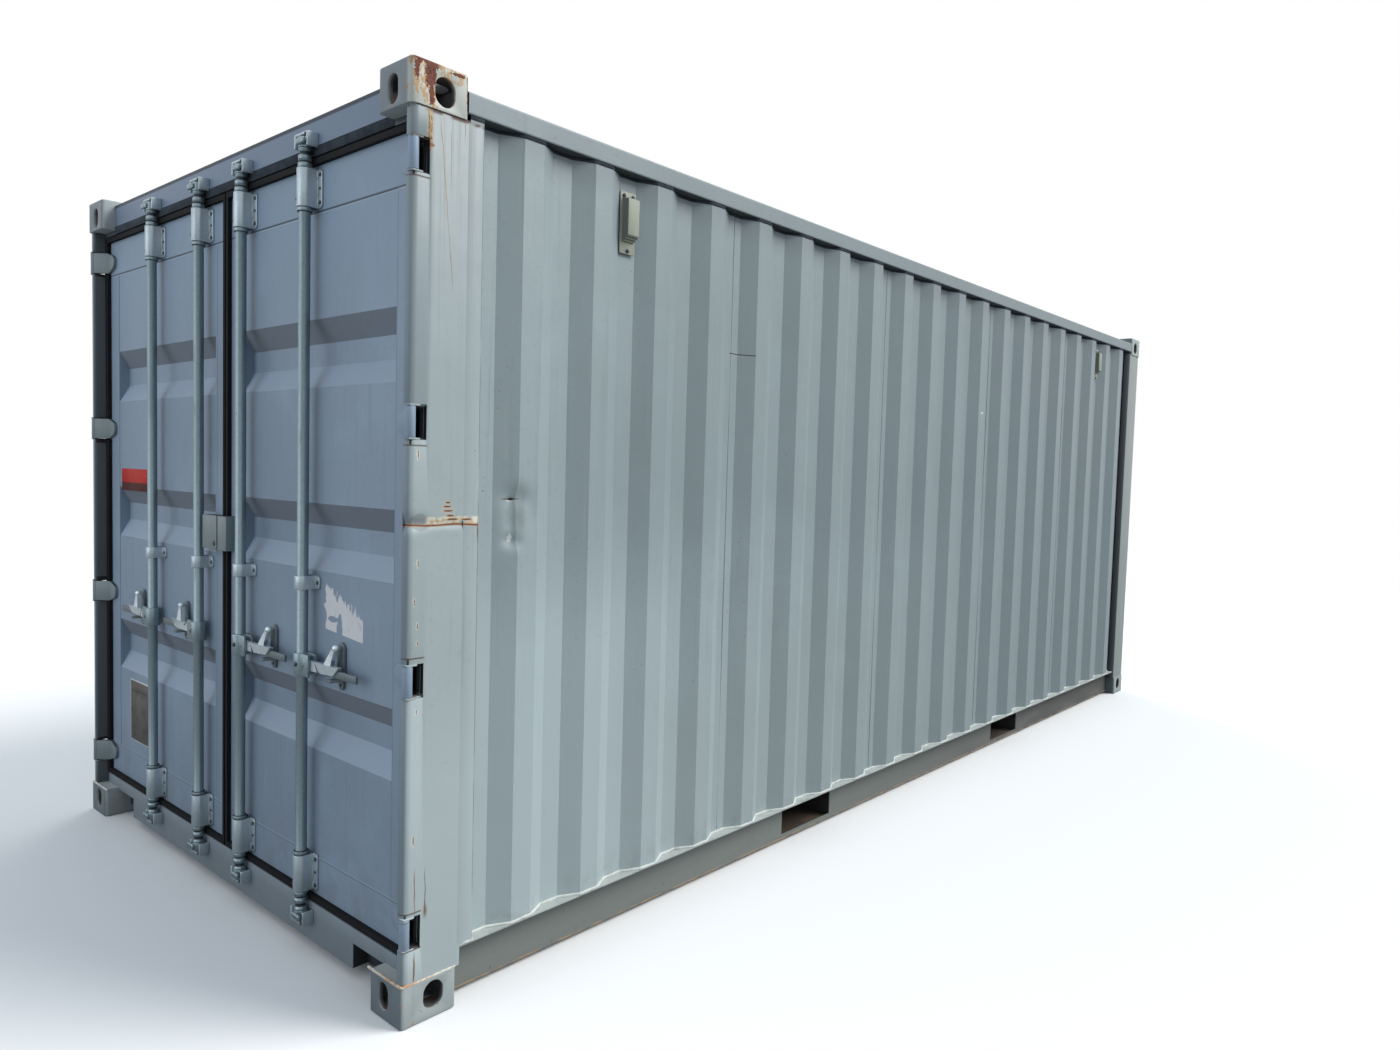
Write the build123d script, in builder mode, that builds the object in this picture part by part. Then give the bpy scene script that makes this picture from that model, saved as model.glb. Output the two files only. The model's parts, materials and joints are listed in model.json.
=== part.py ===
from build123d import *
import os

os.makedirs("parts", exist_ok=True)

# Freight container, 20 ft by 8 ft by 8 ft 6 in, in millimetres.
# The origin is the centre of the underside, the doors face minus Y and plus X is the right side.

# Overall size
LENGTH = 6058
WIDTH = 2438
HEIGHT = 2591

# Corner castings
CASTING_LENGTH = 178
CASTING_WIDTH = 162
CASTING_HEIGHT = 118
CASTING_PLATE = 28.5
CASTING_WALL = 15
CASTING_BACK = 10
CASTING_CORNER = 14
CASTING_EDGE = 4
HOLE_FROM_END = 101.5
HOLE_FROM_SIDE = 89
HOLE_HEIGHT = 79
TWISTLOCK_LENGTH = 124
TWISTLOCK_WIDTH = 63.5
SIDE_HOLE_WIDTH = 63.5
END_HOLE_WIDTH = 51

# Corner posts at the door end: a pressed nose closed by a rolled channel
POST_SHEET = 6
POST_SIDE_SETBACK = 3
POST_END_SETBACK = 6
POST_SIDE_LENGTH = 182
POST_OUTER_BEND = 17
POST_INNER_BEND = 8
NOSE_WIDTH = 35
JAMB_DEPTH = 46
JAMB_LENGTH = 113
JAMB_FLANGE = 40
JAMB_PLATE = 12
NOSE_DEPTH = 63

# Corner posts at the blind end
BLIND_POST_SIDE = 196
BLIND_POST_LIP = 25
BLIND_POST_RETURN = 48
BLIND_SETBACK = 3

# Door opening
HEADER_SETBACK = 49
HEADER_DROP = 18
HEADER_HEIGHT = 117
HEADER_LENGTH = 100
SILL_SETBACK = 50
SILL_TOP = 158
SILL_BOTTOM = 35
SILL_LENGTH = 100
BEAM_PLATE = 4.5
BEAM_BEND = 3.5
THRESHOLD_FRONT = 29
THRESHOLD_SLOPE = 50
NOTCH_LENGTH = 177
NOTCH_TOP = 112
NOTCH_PLATE = 6
BLIND_BEAM_LENGTH = 60

# Side rails
TOP_RAIL = 60
TOP_RAIL_WALL = 3
TOP_RAIL_DROP = 40
TOP_RAIL_SETBACK = 2
BOTTOM_RAIL_TOP = 172
BOTTOM_RAIL_BOTTOM = 17
BOTTOM_RAIL_PLATE = 4.5
BOTTOM_RAIL_SETBACK = 5
BOTTOM_RAIL_LEDGE = 51
BOTTOM_RAIL_FOOT = 30

# Side walls: sheet with trapezoid ridges
WALL_SHEET = 2
WALL_SETBACK = 6
WALL_DEPTH = 36
WALL_PITCH = 277
WALL_FIRST_RIDGE_FROM_END = 410
WALL_CREST = 72
WALL_SLOPE = 67
WALL_STRIP = 44
WALL_STEP = 4
SHEET_GAP = 0.3

# Blind end wall
END_DEPTH = 45.6
END_PITCH = 250
END_CREST = 110
END_SLOPE = 18

# Roof: sheet with pressed pans across
ROOF_SHEET = 2
ROOF_PAN_HEIGHT = 20
ROOF_PITCH = 209
ROOF_PLAIN_END = 220
ROOF_PAN_WIDTH = 127
ROOF_PAN_INSET = 94
ROOF_PAN_TAPER = 41
ROOF_EDGE = 8

# Floor and what carries it
FLOOR_TOP = 170
FLOOR_PLY = 28
FLOOR_GAP = 0.5
MEMBER_FLANGE = 45
MEMBER_PLATE = 4
MEMBERS_PER_BAY = 6
POCKET_CENTRE = 1025
POCKET_WIDTH = 360
POCKET_PLATE = 4
POCKET_WINDOW_HEIGHT = 114
POCKET_WINDOW_RISE = 19
PLATE_GAP = 0.3

# Vents, in the hollow between two ridges
VENT_PITCHES_FROM_RIDGE = 1.5
VENT_DROP = 71
VENT_HEIGHT = 175
VENT_WIDTH = 66
VENT_SLOPE = 30
VENT_PROUD = 38
VENT_PLATE_DROP = 50
VENT_PLATE_HEIGHT = 231
VENT_PLATE_WIDTH = 91
VENT_PLATE_SHEET = 3
VENT_PLATE_STANDOFF = 7

# Doors
DOOR_SETBACK = 63
DOOR_THICKNESS = 50
DOOR_SIDE_GAP = 20
DOOR_HALF_GAP = 19
DOOR_END_GAP = 24
DOOR_SIDE_MEMBER = 91
DOOR_TOP_MEMBER = 138
DOOR_BOTTOM_MEMBER = 120
PANEL_SHEET = 2
PANEL_STEP = 1
BAND_HEIGHT = 207
BAND_FLAT = 70
BAND_DEPTH = 36
BAND_COUNT = 3

# Door gaskets
GASKET_SIDE_CLEARANCE = 3
GASKET_END_CLEARANCE = 5.5
GASKET_HALF_GAP = 5
GASKET_FRONT = 14
GASKET_SEAT = 0.3

# Hinges
HINGE_FROM_TOP = 85
HINGE_FROM_BOTTOM = 80
HINGE_COUNT = 4
HINGE_WINDOW = 94
HINGE_WINDOW_LENGTH = 53
PIN_FROM_SIDE = 15
PIN_FROM_END = 17
PIN_RADIUS = 6
PIN_CLEARANCE = 0.09
BARREL_RADIUS = 14
LUG_PLATE = 5
LUG_HALF_WIDTH = 13
LUG_LENGTH = 35
LUG_CORNER = 7
BLADE_GAP = 0.5
BLADE_PLATE = 12
BLADE_REACH = 119
BLADE_TIP_HEIGHT = 50

# Lock rods
ROD_RADIUS = 17
ROD_SETBACK = 28
ROD_PLACES = (170, 603)
ROD_BOTTOM = 107
ROD_DROP = 83
CAM_HEIGHT = 30
CAM_RADIUS = 20
CAM_EAR = 27
CAM_EAR_WIDTH = 20
KEEPER_CLEARANCE = 6
KEEPER_PLATE = 8
KEEPER_END_GAP = 5
KEEPER_LENGTH = 36
NECK_RADIUS = 14
COLLAR_RADIUS = 22
COLLAR_HEIGHT = 10

# Rod brackets
BRACKET_CLEARANCE = 0.5
BRACKET_WALL = 6
BRACKET_FLANGE = 46
BRACKET_PLATE = 6
BRACKET_CORNER = 8
BRACKET_END_GAP = 1
BRACKET_FROM_END = 14
BRACKET_HEIGHT = 115
MIDDLE_BRACKET_BOTTOM = 1145
MIDDLE_BRACKET_HEIGHT = 42

# Handles
HUB_BOTTOM = 881
HUB_HEIGHT = 68
HUB_RADIUS = 26
HUB_REACH = 64
HUB_WIDTH = 30
HANDLE_PIN_REACH = 34
HANDLE_PIN_RADIUS = 5
HANDLE_PIN_CLEARANCE = 0.09
HANDLE_PIN_HEAD = 3
HANDLE_THICKNESS = 14
HANDLE_SIDE_GAP = 0.8
HANDLE_WIDTH = 30
HANDLE_REACH = 330
HANDLE_RISE = 8
HORN_FOOT_REACH = 150
HORN_FOOT_WIDTH = 26
HORN_REACH = 184
HORN_RISE = 70
HORN_WIDTH = 15
HORN_LEAN = 11
KNOB_RADIUS = 11

# Handle retainers
RETAINER_REACH = 184
RETAINER_WIDTH = 40
RETAINER_PLATE = 8
RETAINER_TOP = 1000
RETAINER_SHELF = 885
RETAINER_SHELF_LENGTH = 48
RETAINER_EYE = 14
RETAINER_EYE_HOLE = 6
RETAINER_EYE_DROP = 14

# Lock box over the seam of the doors
BOX_LEFT = 120
BOX_RIGHT = 72
BOX_SEAM = 4
BOX_BOTTOM = 1221
BOX_HEIGHT = 119
BOX_LENGTH = 42
BOX_SHEET = 4
BOX_GASKET_CLEARANCE = 1.5

# Places that follow from the sizes above
end = LENGTH / 2
side = WIDTH / 2
casting_inner_y = end - CASTING_LENGTH
casting_inner_x = side - CASTING_WIDTH
post_bottom = CASTING_HEIGHT
post_top = HEIGHT - CASTING_HEIGHT
post_height = post_top - post_bottom
post_x = side - POST_SIDE_SETBACK
nose_y = POST_END_SETBACK - end
jamb_x = post_x - JAMB_DEPTH
jamb_y = nose_y + NOSE_DEPTH
post_back_y = nose_y + POST_SIDE_LENGTH
header_y = HEADER_SETBACK - end
sill_y = SILL_SETBACK - end
header_top = HEIGHT - HEADER_DROP
header_bottom = header_top - HEADER_HEIGHT
top_rail_top = HEIGHT - TOP_RAIL_DROP
wall_x = side - WALL_SETBACK
wall_bottom = BOTTOM_RAIL_TOP
wall_top = top_rail_top - TOP_RAIL
blind_y = end - BLIND_SETBACK
rail_x = side - BOTTOM_RAIL_SETBACK
web_x = rail_x - BOTTOM_RAIL_LEDGE
web_inner_x = web_x - BOTTOM_RAIL_PLATE
floor_bottom = FLOOR_TOP - FLOOR_PLY
pocket_top = floor_bottom - POCKET_PLATE
foot_top = BOTTOM_RAIL_BOTTOM + BOTTOM_RAIL_PLATE
pocket_bottom = foot_top + POCKET_PLATE
member_height = floor_bottom - foot_top
door_y = DOOR_SETBACK - end
door_x = jamb_x - DOOR_SIDE_GAP
door_top = header_bottom - DOOR_END_GAP
door_bottom = SILL_TOP + DOOR_END_GAP
pin_x = side - PIN_FROM_SIDE
pin_y = PIN_FROM_END - end
rod_y = ROD_SETBACK - end
rod_top = HEIGHT - ROD_DROP
hinge_top = door_top - HINGE_FROM_TOP
hinge_pitch = (hinge_top - door_bottom - HINGE_FROM_BOTTOM) / (HINGE_COUNT - 1)
hinge_heights = [hinge_top - number * hinge_pitch for number in range(HINGE_COUNT)]
brackets = (
    (door_bottom + BRACKET_FROM_END, BRACKET_HEIGHT),
    (MIDDLE_BRACKET_BOTTOM, MIDDLE_BRACKET_HEIGHT),
    (door_top - BRACKET_FROM_END - BRACKET_HEIGHT, BRACKET_HEIGHT),
)


def left_of(points, distance):
    """Return the open line moved to its left by the distance, with mitred corners."""
    line = [Vector(*point) for point in points]
    moved = []
    for number, point in enumerate(line):
        before = line[max(number - 1, 0)]
        after = line[min(number + 1, len(line) - 1)]
        into = (point - before if number > 0 else after - point).normalized()
        out_of = (after - point if number < len(line) - 1 else into).normalized()
        middle = (into + out_of).normalized()
        normal = Vector(-middle.Y, middle.X)
        moved.append(point + normal * (distance / normal.dot(Vector(-into.Y, into.X))))
    return moved


def save(piece, name):
    """Label the piece and write its file."""
    piece.label = name
    export_step(piece, f"parts/{name}.step")


def save_both(piece, name):
    """Write a piece of the right side and its mirror image on the left."""
    with BuildPart() as left:
        mirror(piece, about=Plane.YZ)
    save(piece, f"{name}_right")
    save(left.part, f"{name}_left")


# Corner castings: hollow, with one hole in each outer face
def casting_hole(height, width, place):
    """Draw one oval hole, upright, on the sketch plane."""
    with Locations(place):
        SlotOverall(height, width, rotation=90)


with BuildPart() as castings_bottom:
    with BuildSketch():
        with BuildLine():
            FilletPolyline(
                (side - CASTING_WIDTH, CASTING_LENGTH - end),
                (side - CASTING_WIDTH, -end),
                (side, -end),
                (side, CASTING_LENGTH - end),
                radius=CASTING_CORNER,
                close=True,
            )
        make_face()
    extrude(amount=CASTING_HEIGHT)
    chamfer(castings_bottom.faces().sort_by(Axis.Z)[0].outer_wire().edges(), CASTING_EDGE)
    with BuildSketch(Plane.XY.offset(CASTING_PLATE)):
        with Locations(
            (
                side - CASTING_WIDTH / 2 - (CASTING_WALL - CASTING_BACK) / 2,
                CASTING_LENGTH / 2 + (CASTING_WALL - CASTING_BACK) / 2 - end,
            )
        ):
            Rectangle(
                CASTING_WIDTH - CASTING_WALL - CASTING_BACK,
                CASTING_LENGTH - CASTING_WALL - CASTING_BACK,
            )
    extrude(amount=CASTING_HEIGHT - CASTING_PLATE - CASTING_BACK, mode=Mode.SUBTRACT)
    with BuildSketch():
        casting_hole(TWISTLOCK_LENGTH, TWISTLOCK_WIDTH, (side - HOLE_FROM_SIDE, HOLE_FROM_END - end))
    extrude(amount=CASTING_PLATE, mode=Mode.SUBTRACT)
    hole_z = CASTING_PLATE + HOLE_HEIGHT / 2 + SHEET_GAP
    with BuildSketch(Plane.YZ.offset(side)):
        casting_hole(HOLE_HEIGHT, SIDE_HOLE_WIDTH, (HOLE_FROM_END - end, hole_z))
    extrude(amount=-CASTING_WALL, mode=Mode.SUBTRACT)
    with BuildSketch(Plane.XZ.offset(end)):
        casting_hole(HOLE_HEIGHT, END_HOLE_WIDTH, (side - HOLE_FROM_SIDE, hole_z))
    extrude(amount=-CASTING_WALL, mode=Mode.SUBTRACT)
    mirror(about=Plane.XZ)
    mirror(about=Plane.YZ)
save(castings_bottom.part, "castings_bottom")

with BuildPart() as castings_top:
    mirror(castings_bottom.part, about=Plane.XY.offset(HEIGHT / 2))
save(castings_top.part, "castings_top")

# Corner posts at the door end, with a window in the nose for each hinge
with BuildPart() as door_end_post:
    with BuildSketch(Plane.XY.offset(post_bottom)):
        with BuildLine():
            FilletPolyline(
                (post_x - NOSE_WIDTH + POST_SHEET / 2, jamb_y),
                (post_x - NOSE_WIDTH + POST_SHEET / 2, nose_y + POST_SHEET / 2),
                (post_x - POST_SHEET / 2, nose_y + POST_SHEET / 2),
                (post_x - POST_SHEET / 2, post_back_y),
                radius=[POST_INNER_BEND, POST_OUTER_BEND],
            )
        trace(line_width=POST_SHEET)
        with Locations((jamb_x + JAMB_FLANGE / 2, jamb_y + JAMB_LENGTH / 2)):
            Rectangle(JAMB_FLANGE, JAMB_LENGTH)
        with Locations((jamb_x + (JAMB_FLANGE + JAMB_PLATE) / 2, jamb_y + JAMB_LENGTH / 2)):
            Rectangle(
                JAMB_FLANGE - JAMB_PLATE,
                JAMB_LENGTH - 2 * JAMB_PLATE,
                mode=Mode.SUBTRACT,
            )
    extrude(amount=post_height)
    for height in hinge_heights:
        with Locations((post_x, nose_y, height)):
            Box(
                3 * NOSE_WIDTH,
                2 * HINGE_WINDOW_LENGTH,
                HINGE_WINDOW,
                mode=Mode.SUBTRACT,
            )
save_both(door_end_post.part, "door_end_post")

# Corner posts at the blind end, pressed from one plate
blind_post_x = casting_inner_x + SHEET_GAP
blind_post_start = end - BLIND_POST_SIDE
hollow_x = wall_x - WALL_DEPTH
with BuildPart() as blind_end_post:
    blind_line = [
        (hollow_x + POST_SHEET, blind_post_start - BLIND_POST_LIP),
        (post_x, blind_post_start),
        (post_x, blind_y),
        (blind_post_x, blind_y),
        (blind_post_x, blind_y - BLIND_POST_RETURN),
    ]
    with BuildSketch(Plane.XY.offset(post_bottom)):
        with BuildLine():
            Polyline(*blind_line, *reversed(left_of(blind_line, POST_SHEET)), close=True)
        make_face()
    extrude(amount=post_height)
    corners = blind_end_post.edges().filter_by(Axis.Z).sort_by(lambda edge: edge.center().Y + edge.center().X)
    fillet(corners[-1], POST_OUTER_BEND)
save_both(blind_end_post.part, "blind_end_post")

# Door header: a closed beam between the castings, with a seat that runs on to the posts
with BuildPart() as door_header:
    with BuildSketch(Plane.YZ.offset(-casting_inner_x)):
        with Locations((header_y + HEADER_LENGTH / 2, (header_bottom + header_top) / 2)):
            Rectangle(HEADER_LENGTH, header_top - header_bottom)
            Rectangle(
                HEADER_LENGTH - 2 * BEAM_PLATE,
                header_top - header_bottom - 2 * BEAM_PLATE,
                mode=Mode.SUBTRACT,
            )
    extrude(amount=2 * casting_inner_x)
    fillet(door_header.edges().filter_by(Axis.X).group_by(Axis.Y)[0], BEAM_BEND)
    with BuildSketch(Plane.XY.offset(header_bottom)):
        with Locations((0, header_y + HEADER_LENGTH / 2)):
            Rectangle(2 * jamb_x, HEADER_LENGTH - BEAM_PLATE)
            Rectangle(2 * casting_inner_x, HEADER_LENGTH - BEAM_PLATE, mode=Mode.SUBTRACT)
    extrude(amount=post_top - header_bottom)
save(door_header.part, "door_header")

# Door sill: a closed beam with a sloping threshold and a lined notch at each end
sill_back = sill_y + SILL_LENGTH
with BuildPart() as door_sill:
    with BuildSketch(Plane.YZ.offset(-casting_inner_x)):
        with BuildLine():
            Polyline(
                (sill_y, SILL_BOTTOM),
                (sill_y, SILL_TOP),
                (sill_y + THRESHOLD_FRONT, SILL_TOP),
                (sill_y + THRESHOLD_FRONT + THRESHOLD_SLOPE, FLOOR_TOP),
                (sill_back, FLOOR_TOP),
                (sill_back, SILL_BOTTOM),
                close=True,
            )
        make_face()
        offset(amount=-BEAM_PLATE, kind=Kind.INTERSECTION, mode=Mode.SUBTRACT)
    extrude(amount=2 * casting_inner_x)
    with BuildSketch(Plane.XZ.offset(-sill_back)):
        for place in (-1, 1):
            with Locations((place * (casting_inner_x - NOTCH_LENGTH / 2), (SILL_BOTTOM + NOTCH_TOP) / 2)):
                Rectangle(NOTCH_LENGTH, NOTCH_TOP - SILL_BOTTOM)
    extrude(amount=SILL_LENGTH, mode=Mode.SUBTRACT)
    with BuildSketch(Plane.XZ.offset(-sill_back)):
        for place in (-1, 1):
            notch = [
                (place * casting_inner_x, NOTCH_TOP),
                (place * (casting_inner_x - NOTCH_LENGTH), NOTCH_TOP),
                (place * (casting_inner_x - NOTCH_LENGTH), SILL_BOTTOM),
            ]
            with BuildLine():
                Polyline(*notch, *reversed(left_of(notch, -place * NOTCH_PLATE)), close=True)
            make_face()
    extrude(amount=SILL_LENGTH)
save(door_sill.part, "door_sill")

# Beams of the blind end
for name, low, high in (
    ("blind_header", post_top, header_top),
    ("blind_sill", SILL_BOTTOM, SILL_TOP),
):
    with BuildPart() as beam:
        with BuildSketch(Plane.YZ.offset(-casting_inner_x)):
            with Locations((blind_y - BLIND_BEAM_LENGTH / 2, (low + high) / 2)):
                Rectangle(BLIND_BEAM_LENGTH, high - low)
                Rectangle(BLIND_BEAM_LENGTH - 2 * BEAM_PLATE, high - low - 2 * BEAM_PLATE, mode=Mode.SUBTRACT)
        extrude(amount=2 * casting_inner_x)
    save(beam.part, name)

# Top side rails: square tube
with BuildPart() as top_side_rail:
    with BuildSketch(Plane.XZ.offset(-casting_inner_y)):
        with Locations((side - TOP_RAIL_SETBACK - TOP_RAIL / 2, top_rail_top - TOP_RAIL / 2)):
            RectangleRounded(TOP_RAIL, TOP_RAIL, 2 * TOP_RAIL_WALL)
            RectangleRounded(
                TOP_RAIL - 2 * TOP_RAIL_WALL,
                TOP_RAIL - 2 * TOP_RAIL_WALL,
                TOP_RAIL_WALL,
                mode=Mode.SUBTRACT,
            )
    extrude(amount=2 * casting_inner_y)
save_both(top_side_rail.part, "top_side_rail")

# Bottom side rails: plates welded to a channel, with a window in the web for each fork pocket
window_bottom = BOTTOM_RAIL_BOTTOM + POCKET_WINDOW_RISE
window_top = window_bottom + POCKET_WINDOW_HEIGHT
web_bottom = foot_top + PLATE_GAP
web_top = BOTTOM_RAIL_TOP - BOTTOM_RAIL_PLATE - PLATE_GAP
window_start = POCKET_CENTRE - POCKET_WIDTH / 2
window_stop = POCKET_CENTRE + POCKET_WIDTH / 2
web_plates = [(PLATE_GAP - window_start, web_bottom, window_start - PLATE_GAP, web_top)]
for sign in (-1, 1):
    web_plates += [
        (sign * (window_stop + PLATE_GAP), web_bottom, sign * casting_inner_y, web_top),
        (sign * window_start, web_bottom, sign * window_stop, window_bottom),
        (sign * window_start, window_top, sign * window_stop, web_top),
    ]
with BuildPart() as bottom_side_rail:
    with BuildSketch(Plane.YZ.offset(web_x)):
        for start, low, stop, high in web_plates:
            with Locations(((start + stop) / 2, (low + high) / 2)):
                Rectangle(abs(stop - start), high - low)
    extrude(amount=-BOTTOM_RAIL_PLATE)
    with BuildSketch(Plane.XY.offset(BOTTOM_RAIL_BOTTOM)):
        with Locations((web_x - BOTTOM_RAIL_FOOT / 2, 0)):
            Rectangle(BOTTOM_RAIL_FOOT, 2 * casting_inner_y)
    extrude(amount=BOTTOM_RAIL_PLATE)
    ledge_back = blind_post_start - BLIND_POST_LIP
    with BuildSketch(Plane.XY.offset(BOTTOM_RAIL_TOP)):
        with Locations(((web_inner_x + rail_x) / 2, (post_back_y + ledge_back) / 2)):
            Rectangle(rail_x - web_inner_x, ledge_back - post_back_y)
        for start, stop in ((-casting_inner_y, post_back_y), (ledge_back, casting_inner_y)):
            with Locations(((web_inner_x + web_x) / 2, (start + stop) / 2)):
                Rectangle(BOTTOM_RAIL_PLATE, stop - start)
    extrude(amount=-BOTTOM_RAIL_PLATE)
save_both(bottom_side_rail.part, "bottom_side_rail")

# Side walls: one corrugated sheet each
ridge_half = WALL_CREST / 2 + WALL_SLOPE
wall_line = [
    (wall_x, post_back_y),
    (wall_x, post_back_y + WALL_STRIP),
    (hollow_x, post_back_y + WALL_STRIP + WALL_STEP),
]
wall_back_y = blind_post_start - BLIND_POST_LIP - SHEET_GAP
first_ridge = WALL_FIRST_RIDGE_FROM_END - end
ridge_count = int((wall_back_y - ridge_half - first_ridge) // WALL_PITCH) + 1
for number in range(ridge_count):
    ridge = first_ridge + number * WALL_PITCH
    wall_line += [
        (hollow_x, ridge - ridge_half),
        (wall_x, ridge - WALL_CREST / 2),
        (wall_x, ridge + WALL_CREST / 2),
        (hollow_x, ridge + ridge_half),
    ]
wall_line.append((hollow_x, wall_back_y))
with BuildPart() as side_wall:
    with BuildSketch(Plane.XY.offset(wall_bottom)):
        with BuildLine():
            Polyline(*wall_line, *reversed(left_of(wall_line, WALL_SHEET)), close=True)
        make_face()
    extrude(amount=wall_top - wall_bottom)
save_both(side_wall.part, "side_wall")

# Blind end wall
end_hollow_y = blind_y - END_DEPTH
end_half = END_CREST / 2 + END_SLOPE
end_line = [(casting_inner_x, end_hollow_y)]
end_gaps = int(2 * (casting_inner_x - end_half) // END_PITCH)
for number in range(end_gaps + 1):
    ridge = (end_gaps / 2 - number) * END_PITCH
    end_line += [
        (ridge + end_half, end_hollow_y),
        (ridge + END_CREST / 2, blind_y),
        (ridge - END_CREST / 2, blind_y),
        (ridge - end_half, end_hollow_y),
    ]
end_line.append((-casting_inner_x, end_hollow_y))
with BuildPart() as blind_end_wall:
    with BuildSketch(Plane.XY.offset(SILL_TOP)):
        with BuildLine():
            Polyline(*end_line, *reversed(left_of(end_line, WALL_SHEET)), close=True)
        make_face()
    extrude(amount=post_top - SILL_TOP)
save(blind_end_wall.part, "blind_end_wall")

# Roof: a flat sheet, cut back at the castings, with pans pressed up from below
roof_front = header_y + HEADER_LENGTH
roof_back = blind_y - BLIND_BEAM_LENGTH
pan_room = roof_back - roof_front - 2 * ROOF_PLAIN_END - ROOF_PAN_WIDTH
pan_count = int(pan_room // ROOF_PITCH) + 1
pan_length = WIDTH - 2 * ROOF_PAN_INSET
with BuildPart() as roof:
    with BuildSketch(Plane.XY.offset(top_rail_top)):
        Rectangle(WIDTH - 2 * TOP_RAIL_SETBACK - 2 * ROOF_EDGE, 2 * casting_inner_y)
        with Locations((0, (roof_front + roof_back) / 2)):
            Rectangle(2 * casting_inner_x, roof_back - roof_front)
    extrude(amount=ROOF_SHEET)
    with BuildSketch(Plane.XY.offset(top_rail_top)) as pans:
        with GridLocations(0, ROOF_PITCH, 1, pan_count):
            Rectangle(pan_length, ROOF_PAN_WIDTH)
    extrude(amount=ROOF_PAN_HEIGHT + ROOF_SHEET, taper=ROOF_PAN_TAPER)
    with BuildSketch(Plane.XY.offset(top_rail_top - ROOF_SHEET)):
        with GridLocations(0, ROOF_PITCH, 1, pan_count):
            Rectangle(pan_length, ROOF_PAN_WIDTH)
    extrude(amount=ROOF_PAN_HEIGHT + ROOF_SHEET, taper=ROOF_PAN_TAPER, mode=Mode.SUBTRACT)
save(roof.part, "roof")

# Floor
with BuildPart() as floor_boards:
    with BuildSketch(Plane.XY.offset(floor_bottom)):
        with Locations((0, (sill_back + blind_y - BLIND_BEAM_LENGTH) / 2)):
            Rectangle(2 * (web_inner_x - FLOOR_GAP), blind_y - BLIND_BEAM_LENGTH - sill_back)
    extrude(amount=FLOOR_PLY)
save(floor_boards.part, "floor")

# Cross members: three bays of channels beside the fork pockets
pocket_half = POCKET_WIDTH / 2 + POCKET_PLATE + MEMBER_FLANGE
bays = (
    (MEMBER_FLANGE - casting_inner_y, -POCKET_CENTRE - pocket_half),
    (-POCKET_CENTRE + pocket_half, POCKET_CENTRE - pocket_half),
    (POCKET_CENTRE + pocket_half, casting_inner_y - MEMBER_FLANGE),
)
with BuildPart() as cross_members:
    with BuildSketch(Plane.YZ.offset(-web_inner_x)):
        for start, stop in bays:
            for number in range(MEMBERS_PER_BAY):
                middle = start + (stop - start) * number / (MEMBERS_PER_BAY - 1)
                with Locations((middle, floor_bottom - member_height / 2)):
                    Rectangle(MEMBER_FLANGE, member_height)
                with Locations((middle + MEMBER_PLATE, floor_bottom - member_height / 2)):
                    Rectangle(MEMBER_FLANGE, member_height - 2 * MEMBER_PLATE, mode=Mode.SUBTRACT)
    extrude(amount=2 * web_inner_x)
save(cross_members.part, "cross_members")

# Fork pockets: tunnels from web to web, each welded from four plates
pocket_height = pocket_top - pocket_bottom
with BuildPart() as fork_pockets:
    with BuildSketch(Plane.YZ.offset(-web_inner_x)):
        for place in (-POCKET_CENTRE, POCKET_CENTRE):
            for sign in (-1, 1):
                with Locations((place + sign * (POCKET_WIDTH + POCKET_PLATE) / 2, (pocket_bottom + pocket_top) / 2)):
                    Rectangle(POCKET_PLATE, pocket_height - 2 * PLATE_GAP)
            for low in (pocket_bottom - POCKET_PLATE, pocket_top):
                with Locations((place, low + POCKET_PLATE / 2)):
                    Rectangle(POCKET_WIDTH + 2 * POCKET_PLATE, POCKET_PLATE)
    extrude(amount=2 * web_inner_x)
save(fork_pockets.part, "fork_pockets")

# Vents: a hooded box on a plate, in the hollow beside the second ridge from each end
vent_offset = VENT_PITCHES_FROM_RIDGE * WALL_PITCH
last_ridge = first_ridge + (ridge_count - 1) * WALL_PITCH
vent_places = (first_ridge + vent_offset, last_ridge - vent_offset)
vent_bottom = wall_top - VENT_DROP - VENT_HEIGHT
with BuildPart() as vents:
    for place in vent_places:
        with BuildSketch(Plane.XZ.offset(VENT_WIDTH / 2 - place)):
            with BuildLine():
                Polyline(
                    (hollow_x, vent_bottom),
                    (hollow_x, vent_bottom + VENT_HEIGHT),
                    (hollow_x + VENT_PROUD, vent_bottom + VENT_HEIGHT - VENT_SLOPE / 3),
                    (hollow_x + VENT_PROUD, vent_bottom + VENT_SLOPE),
                    close=True,
                )
            make_face()
        extrude(amount=-VENT_WIDTH)
        with Locations(
            (
                hollow_x + VENT_PLATE_STANDOFF + VENT_PLATE_SHEET / 2,
                place,
                wall_top - VENT_PLATE_DROP - VENT_PLATE_HEIGHT / 2,
            )
        ):
            Box(VENT_PLATE_SHEET, VENT_PLATE_WIDTH, VENT_PLATE_HEIGHT)
    mirror(about=Plane.YZ)
save(vents.part, "vents")

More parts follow.
